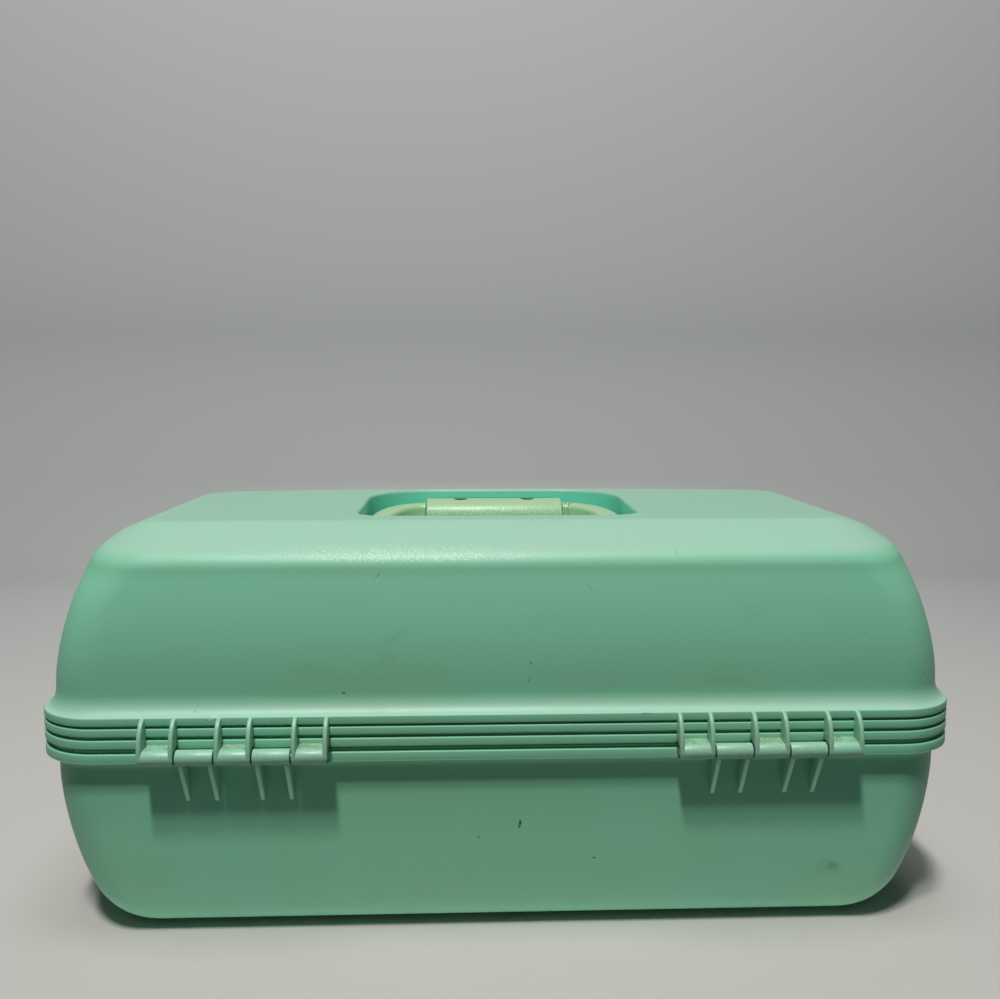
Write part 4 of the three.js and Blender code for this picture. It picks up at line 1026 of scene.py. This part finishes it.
@mask_group
def hand_grime(tree):
    """Grey film in the hollows of the handle, where hands don't rub."""
    return product(tree, grains(tree, 6, 0.55, 0.8, 4.0, 0.7), 0.25)


@mask_group
def hole_shade(tree):
    """Painted shade: soot-dark colour inside the two screw holes of the sleeve, where light doesn't reach."""
    past = vector_of(tree, "SUBTRACT", from_middle(tree), (screw_x * mm, -grip_y * mm, 0))[0]
    level = vector_of(tree, "MULTIPLY", past, (1, 1, 0))[0]
    away = vector_of(tree, "LENGTH", level)["Value"]
    near, far = (screw_hole + 0.05) * mm, (screw_hole + 0.3) * mm
    return product(tree, spread(tree, away, near, far, 1.0, 0.0), 0.92)


@mask_group
def sleeve_glints(tree):
    """Painted highlight: the sleeve's coarse grain is painted with fine pale glints on the side that the
    fingers close on.
    """
    side = product(tree, falling(tree, "Z", 146.2, 147.6), rising(tree, "Y", -31, -29))
    return product(tree, side, grains(tree, 0.9, 0.50, 0.64, 2.0, 0.65), 0.6)


# Colour of the painted glints on the sleeve's grain, and the grey of the handle's film of dirt.
sleeve_glint_colour, film_grey = (0.66, 0.80, 0.62, 1), (0.30, 0.34, 0.22, 1)
pale, pale_aged, sleeve_tint = (0.42, 0.64, 0.40, 1), (0.37, 0.57, 0.33, 1), (0.34, 0.54, 0.33, 1)
film = (hand_grime, film_grey)
bow_finish = plastic("pale_plastic", pale, pale_aged, roughness=0.30, grain=0.0009, depth=0.00003,
                     grime_and_light=(film,))
# The soot colour in the sleeve's screw holes is painted shade.
sleeve_finish = plastic("sleeve_plastic", sleeve_tint, pale_aged, roughness=0.36, grain=0.0008, depth=0.00014,
                        grime_and_light=(film, (sleeve_glints, sleeve_glint_colour), (hole_shade, soot)))
screw_steel = steel_finish("screw_steel", (0.20, 0.20, 0.19, 1), roughness=0.5, rust_share=0.9)

bow_mesh = moulding("handle_bow", half_bow(1, ()) + half_bow(-1, collar_grooves)[::-1])
piece("handle_bow", bow_mesh, bow_finish, "handle")
for name, upper in (("grip_upper", 1), ("grip_lower", -1)):
    half = slab(name, sleeve_outline(upper), -sleeve_half, sleeve_half, sleeve_edge, 3)
    half = cut(half, screw_well(-1, upper > 0), screw_well(1, upper > 0))
    piece(name, half, sleeve_finish, "handle")
grip_screw = screw_mesh("grip_screw", screw_head, screw_head_height, screw_shaft, screw_length, 1)
grip_screws = copies(grip_screw, screw_steel, (-screw_x, grip_y, screw_top), (screw_x * 2, 0, 0), 2)
piece("grip_screws", grip_screws, screw_steel, "handle", ["grip_screw_left", "grip_screw_right"])

pivot_radius, pivot_head, pivot_head_height, pivot_length, pivot_seat, pin_edge = 2, 3.5, 2, 11.2, 60.5, 0.5
pin_head_round = ((0, 0.6), (0.25, 0.15), (0.7, 0))


def headed_pin(name, radius, length, head_radius, head_height, place, side):
    """Steel pin along X with a rounded head, which points to the given side from its seat."""
    profile = [(rise - head_height, head_radius - cut_in) for rise, cut_in in pin_head_round]
    profile = [(-head_height, 0), *profile, (0, head_radius), (0, radius), (length - pin_edge, radius),
               (length, radius - pin_edge), (length, 0)]
    return turned_part(name, [(side * distance, around) for distance, around in profile], place)


for hand, side in hands:
    pin = headed_pin("pivot", pivot_radius, pivot_length, pivot_head, pivot_head_height,
                     (side * pivot_seat, axis_y, axis_z), -side)
    piece(f"handle_pin_{hand}", pin, pin_steel, "lid")

# Front latch: a moulded plate that hangs from a steel pin between two lugs on the lid's rim. Its hook snaps
# under the catch on the base, and its lower edge turns out as a ribbed tab for a finger.
latch_half, latch_y, latch_z = 23, -94.2, 82.5
latch_barrel, latch_pin_radius, latch_bore = 3, 1.3, 1.6
plate_inner, plate_outer, plate_bottom, tab_height, tab_reach = -92.6, -95.2, 58, 5, -97.4
hook_half, hook_top, hook_height, hook_reach = 17, 68.5, 2, -91.0
lug_thickness, lug_gap, lug_edge, plate_edge, hook_edge, past_end = 3, 0.3, 0.4, 0.6, 0.25, 2
rib_height, rib_count, rib_pitch, rib_half, rib_foot, rib_start = 0.5, 5, 1.7, 15, 0.3, 1.2
catch_past, catch_lift = 1.5, 0.1

plate = [(plate_inner, latch_z), (plate_outer, latch_z), (plate_outer, plate_bottom + tab_height),
         (tab_reach, plate_bottom), (tab_reach + plate_inner - plate_outer, plate_bottom),
         (plate_inner, plate_bottom + tab_height)]
hook_low = hook_top - hook_height
hook = [(plate_inner - root, hook_top), (plate_inner - root, hook_low), (plate_inner, hook_low),
        (hook_reach, hook_top - hook_height / 2), (hook_reach, hook_top)]
rib_top = plate_outer - rib_height
rib_side = [(plate_outer + rib_foot, 0.45), (rib_top + 0.15, 0.25)]
rib_outline = [(y, -z) for y, z in rib_side] + [(rib_top, 0)] + rib_side[::-1]
rib = slab("rib", rib_outline, -rib_half, rib_half, 0)
first_rib = (0, 0, plate_bottom + tab_height + rib_start)
ribs = copies(rib, hinge_mint, first_rib, (0, 0, rib_pitch), rib_count)
latch_body = slab("plate", plate, -latch_half, latch_half, plate_edge, 3)
latch_axis = (0, latch_y, latch_z)
bore = rod("bore", -latch_half - past_end, latch_half + past_end, latch_bore, latch_axis)
latch_mesh = joined("latch", cut(latch_body, bore),
                    barrel("barrel", latch_half, latch_y, latch_z, latch_barrel, latch_bore, 0.5),
                    slab("hook", hook, -hook_half, hook_half, hook_edge), ribs)
moulded_roughness = 0.4
latch_finish = plastic("latch_plastic", mint, mint_aged, moulded_roughness, shell_grain, shell_depth)
piece("front_latch", latch_mesh, latch_finish, "latch")
latch_pin_half = latch_half + lug_thickness
latch_pin = rod("latch_pin", -latch_pin_half, latch_pin_half, latch_pin_radius, latch_axis, rod_edge)
piece("latch_pin", latch_pin, pin_steel, "lid")
lug = [(-rim_face + root, latch_z - latch_barrel), (-rim_face + root, latch_z + latch_barrel)]
lug += arc_points(latch_y, latch_z, latch_barrel, 90, 270, 16)
lug_bore = rod("lug_bore", -1, lug_thickness + 1, latch_bore, latch_axis)
lug_mesh = cut(slab("lug", lug, 0, lug_thickness, lug_edge), lug_bore)
lugs = copies(lug_mesh, hinge_mint, (-latch_half - lug_gap - lug_thickness, 0, 0),
              (2 * (latch_half + lug_gap) + lug_thickness, 0, 0), 2)
catch_outline = upright_box(-rim_face - catch_past, base_band[0] + catch_lift, -rim_face + root, base_band[1])
catch = slab("catch", catch_outline, -hook_half, hook_half, lug_edge)

# Shell fittings: round bosses for the mirror's screws and the tray's pins are moulded inside the lid and the
# base, as the knuckles, lugs, catch and feet are on their outsides.
boss_radius, boss_bore, boss_places, boss_bottom, boss_edge = 4, 1.8, (111.5, 55.5), 130, 0.4
boss_foot, boss_flare, boss_sink = 1.5, 0.5, 0.2
link_radius, link_bore, link_depth, link_edge, tray_half = 5, 2.3, 6.3, 0.4, 150
tray_pivot_y, tray_pivot_z, arm_pivot_z, arm_reach, arm_rise = 46.6, 79.1, 58, 48, 6
lid_boss, base_boss, inner_x = (150.3, 163.8), (153.7, 164.9), 164.1
rib_half_width, rib_rise, rib_inset = 3, 7, 6
foot_length, foot_width, foot_places, foot_round = 26, 10, (112, 58), 0.3

mirror_boss = turned_part("mirror_boss", [
    (boss_bottom, boss_bore), (boss_bottom, boss_radius - boss_edge), (boss_bottom + boss_edge, boss_radius),
    (ceiling - boss_foot, boss_radius), (ceiling + boss_sink, boss_radius + boss_flare),
    (ceiling + boss_sink, boss_bore),
], (0, 0, 0), "Z", 32)
bosses = at_four(mirror_boss, hinge_mint, *boss_places)


def link_bosses(near, far, y, z):
    """Bosses inside both end walls, each with a blind bore for a pin of the tray's linkage."""
    profile = [(near + link_depth, 0), (near + link_depth, link_bore), (near, link_bore),
               (near, link_radius - link_edge), (near + link_edge, link_radius), (far, link_radius), (far, 0)]
    return [turned_part("link_boss", [(side * x, radius) for x, radius in profile], (0, y, z), sides=40)
            for side in (-1, 1)]


def link_rib(side):
    """Rib that ties the lid's boss to its end wall."""
    outline = upright_box(tray_pivot_y - rib_half_width, tongue_top, tray_pivot_y + rib_half_width,
                          tongue_top + rib_rise)
    ends = sorted((side * (lid_boss[0] + rib_inset), side * (inner_x + root)))
    return slab("link_rib", outline, *ends, link_edge)


foot_half = foot_width / 2
foot = moulding("foot", [
    plan_loop(foot_length / 2 - cut_in, cut_in - foot_half, foot_half - cut_in,
              foot_half - foot_round - cut_in, foot_half - foot_round - cut_in, height)
    for cut_in, height in ((0.8, 0), (0.25, 0.2), (0, 0.8), (0, base_bottom + root))
])
feet = at_four(foot, hinge_mint, *foot_places)
lid_links = link_bosses(*lid_boss, tray_pivot_y, tray_pivot_z) + [link_rib(-1), link_rib(1)]
lid_mesh = joined("lid_shell", lid_mesh, bosses, lugs, *lid_links)
base_mesh = joined("base_shell", base_mesh, catch, feet, *link_bosses(*base_boss, 0, arm_pivot_z))
# Grime and painted light on the shells: painted light on the upper walls, painted sheen with dust on the
# slopes and ledge, painted glints on the rear shoulder, the aged top, and painted bounce light in the
# handle's well.
shell_grime_and_light = ((painted_wall_light, painted_wall_light_colour), (sheen_and_dust_faces, sheen_and_dust_colour), (painted_glints, glint_colour),
               (painted_dull_points, mint), (aged_top, aged_top_colour), (painted_well_bounce, well_bounce_colour))
shell_finish = plastic("mint_shell", mint, mint_aged, shell_roughness, shell_grain, shell_depth,
                       marks=shell_marks, grime_and_light=shell_grime_and_light)
piece("lid_shell", lid_mesh, shell_finish, "lid")
piece("base_shell", base_mesh, shell_finish, "base")
piece("lid_knuckles", lid_knuckles, knuckle_mint, "lid", [])
piece("base_knuckles", base_knuckles, hinge_mint, "base", [])
for hand, side in hands:
    pin = rod("hinge_pin", -pin_half, pin_half, pin_radius, (side * hinge_middle, hinge_y, hinge_z), rod_edge)
    piece(f"hinge_pin_{hand}", pin, hinge_steel, "base")

# Mirror: silvered glass with a polished bevel, glued in a frame that is moulded in the case's colour. Four
# steel screws hold the frame on bosses under the lid.
frame_half, frame_corner, frame_low, frame_high = (118, 62), 10, 123.7, 129.7
glass_half, glass_corner, glass_low, glass_high, glass_bevel = (105, 49), 6, 124.0, 127.0, 2.5
mirror_screw_head, mirror_screw_height, mirror_screw_radius, mirror_screw_length = 3.2, 2, 1.5, 16
pocket_gap, seat_radius, seat_bore, past_frame = 0.3, 3.5, 1.8, 1
film_share, clean_silver, filmed_silver = 0.25, (0.86, 0.89, 0.88, 1), (0.70, 0.73, 0.71, 1)


def plate_loop(half, corner, cut_in, height):
    """Rounded outline of a plate centred in the case, drawn in by the given amount."""
    radius = max(corner - cut_in, 0.5)
    return plan_loop(half[0] - cut_in, -half[1] + cut_in, half[1] - cut_in, radius, radius, height)


pocket_top = glass_high + pocket_gap
pocket = (glass_half[0] + pocket_gap, glass_half[1] + pocket_gap)
frame_steps = ((2.6, 0), (1.2, 0.35), (0.3, 1.3), (0, 2.8), (0, frame_high - frame_low - 0.5))
mirror_frame = moulding("mirror_frame", [
    plate_loop(pocket, glass_corner, 0, pocket_top),
    plate_loop(pocket, glass_corner, 0, frame_low + 0.8),
    plate_loop(pocket, glass_corner, -0.8, frame_low),
    *[plate_loop(frame_half, frame_corner, cut_in, frame_low + rise) for cut_in, rise in frame_steps],
    plate_loop(frame_half, frame_corner, 0.5, frame_high),
])
seat = frame_low + mirror_screw_height + pocket_gap
low, high = frame_low - past_frame, frame_high + past_frame
seat_profile = [(low, 0), (low, seat_radius), (seat, seat_radius), (seat, seat_bore), (high, seat_bore),
                (high, 0)]
seats = [turned_part("seat", seat_profile, (x * boss_places[0], y * boss_places[1], 0), "Z", 40)
         for x in (-1, 1) for y in (-1, 1)]
frame_finish = plastic("frame_plastic", mint, mint_aged, moulded_roughness, shell_grain, shell_depth, 0.6)
piece("mirror_frame", cut(mirror_frame, *seats), frame_finish, "lid")
glass_steps = ((glass_bevel, glass_low), (0.2, glass_low + 0.9), (0, glass_low + 1.1), (0, glass_high - 0.2),
               (0.2, glass_high))
glass_loops = [plate_loop(glass_half, glass_corner, *level) for level in glass_steps]
mirror_glass = moulding("mirror_glass", glass_loops)
glass_finish, tree, shader = new_finish("silvered_glass")
feed(tree, shader["Metallic"], 1.0)
film_patches = grains(tree, 30, 0.45, 0.75, 4.0, 0.6)
filmed = product(tree, film_patches, film_share)
feed(tree, shader["Base Color"], blended(tree, filmed, clean_silver, filmed_silver))
feed(tree, shader["Roughness"], spread(tree, film_patches, 0.0, 1.0, 0.02, 0.12))
piece("mirror_glass", mirror_glass, glass_finish, "lid")
mirror_screw = screw_mesh("mirror_screw", mirror_screw_head, mirror_screw_height, mirror_screw_radius,
                          mirror_screw_length, -1)
bright_steel = steel_finish("bright_steel", (0.62, 0.62, 0.60, 1), roughness=0.28, rust_share=0.15)
mirror_screws = at_four(mirror_screw, bright_steel, *boss_places, frame_low)
screw_nodes = [f"mirror_screw_{number}" for number in range(1, 5)]
piece("mirror_screws", mirror_screws, bright_steel, "lid", screw_nodes)

# Tray: a pale moulding with two rows of pockets. Ears at its ends hang on pins in the lid, and two flat arms
# from the base carry its front, so it rises level and moves back as the lid opens.
tray_front, tray_rear, tray_low, tray_high, tray_corner = -78, 60, 48, 76, 12
tray_wall, tray_end_wall, row_wall_y, divider_drop = 2.2, 3, -12, 4
front_pockets, rear_pockets = 4, 2
arm_inner, arm_thickness, arm_edge, link_hole, link_gap = 150.4, 3, 0.5, 2.3, 0.3
link_pin, link_pin_head, link_head_height, pin_seat, base_pin_length = 2, 3.5, 1.8, 6, 9
tray_fillet, floor_fillet, floor_hold, tray_edge, ear_edge = 2, 2.5, 0.4, (0.2, 0.7), 0.4
divider_edge, row_wall_end, divider_end, ear_foot, arm_play = 0.15, 2, 1, 3, 0.4


def tray_loop(cut_x, cut_y, height):
    radius = tray_corner - (cut_x + cut_y) / 2
    return plan_loop(tray_half - cut_x, tray_front + cut_y, tray_rear - cut_y, radius, radius, height)


floor = tray_low + tray_wall
outside = [(tray_fillet + floor_hold, 0), *[(tray_fillet * s, tray_fillet * c) for s, c in quarter_turn(5)]]
tray_skin = [tray_loop(cut_in, cut_in, tray_low + rise) for cut_in, rise in outside]
lip = ((0, 0.6), (tray_edge[0], 0.15), (tray_edge[1], 0))
tray_skin += [tray_loop(cut_in, cut_in, tray_high - drop) for cut_in, drop in lip]
tray_skin += [tray_loop(tray_end_wall - cut_in, tray_wall - cut_in, tray_high - drop)
              for cut_in, drop in lip[::-1]]
well = [(floor_fillet * c, floor_fillet * s) for s, c in quarter_turn(5)] + [(floor_fillet + floor_hold, 0)]
tray_skin += [tray_loop(tray_end_wall + grow, tray_wall + grow, floor + rise) for grow, rise in well]
tray_shell = moulding("tray", tray_skin)
ear_half = link_radius + ear_foot
ear = [(tray_pivot_y - ear_half, tray_high - root), (tray_pivot_y + ear_half, tray_high - root)]
ear += arc_points(tray_pivot_y, tray_pivot_z, link_radius, 0, 180, 20)
tip_y, tip_z = -arm_reach, arm_pivot_z + arm_rise


def link_holes(y, z):
    """Cutter for the holes in both ends of the tray."""
    return rod("link_holes", -tray_half - past_end, tray_half + past_end, link_hole, (0, y, z), sides=32)


ear_ends = (-tray_half, tray_end_wall - tray_half), (tray_half - tray_end_wall, tray_half)
ears = [cut(slab("ear", ear, *ends, ear_edge), link_holes(tray_pivot_y, tray_pivot_z)) for ends in ear_ends]
tray_shell = cut(tray_shell, link_holes(tip_y, tip_z))


def pocket_wall(foot, shoulder, drop, top, start, end):
    """Upright wall along X with the given half widths at its foot, its shoulder and its rounded top."""
    side = [(foot, floor - root), (shoulder, wall_top - drop), (top, wall_top)]
    outline = [(-foot, floor - root), *side, *[(-y, z) for y, z in side[:0:-1]]]
    return slab("pocket_wall", outline, start, end, divider_edge)


wall_top, row_end, wall_half = tray_high - divider_drop, tray_half - row_wall_end, tray_wall / 2
row_wall = pocket_wall(1.4, 0.9, 0.5, 0.5, -row_end, row_end)
row_wall.transform(Matrix.Translation(Vector((0, row_wall_y + wall_half, 0)) * mm))
pale_tray = plastic("tray_plastic", pale, pale_aged, roughness=0.36, grain=0.0007, depth=0.00004, wear=0.7,
                    grime_and_light=(film,))
dividers, middle = [], row_wall_y + divider_end
for count, start, end in ((front_pockets, tray_front + divider_end, middle),
                          (rear_pockets, middle, tray_rear - divider_end)):
    wall = pocket_wall(wall_half + 0.3, wall_half - 0.2, 0.6, wall_half - 0.7, start, end)
    wall.transform(Matrix.Rotation(math.pi / 2, 4, "Z"))
    pitch = 2 * tray_half / count
    dividers.append(copies(wall, pale_tray, (pitch - tray_half, 0, 0), (pitch, 0, 0), count - 1))
tray_mesh = joined("tray", tray_shell, row_wall, *dividers, *ears)
piece("tray", tray_mesh, pale_tray, "tray")

lean = math.degrees(math.atan2(arm_rise, -arm_reach))
link = arc_points(0, arm_pivot_z, link_radius, lean + 90, lean + 270, 20)
link += arc_points(tip_y, tip_z, link_radius, lean - 90, lean + 90, 20)
for hand, side in hands:
    low, high = sorted((side * arm_inner, side * (arm_inner + arm_thickness)))
    arm = slab("arm", link, low, high, arm_edge, 3)
    for y, z in ((0, arm_pivot_z), (tip_y, tip_z)):
        arm = cut(arm, rod("hole", low - 1, high + 1, link_hole, (0, y, z), sides=32))
    piece(f"tray_arm_{hand}", arm, frame_finish, f"arm_{hand}")
    pin_place = (side * (arm_inner + link_gap), 0, arm_pivot_z)
    pin = rod("arm_pin", 0, side * base_pin_length, link_pin, pin_place, rod_edge)
    piece(f"arm_base_pin_{hand}", pin, bright_steel, "base")
    seat_x = side * (tray_half - tray_end_wall - link_gap)
    for name, body, reach, y, z in (
        ("arm_tray_pin", "tray", arm_play + arm_thickness, tip_y, tip_z),
        ("lid_tray_pin", "lid", link_gap + pin_seat, tray_pivot_y, tray_pivot_z),
    ):
        pin = headed_pin(name, link_pin, tray_end_wall + reach, link_pin_head, link_head_height,
                         (seat_x, y, z), side)
        piece(f"{name}_{hand}", pin, bright_steel, body)
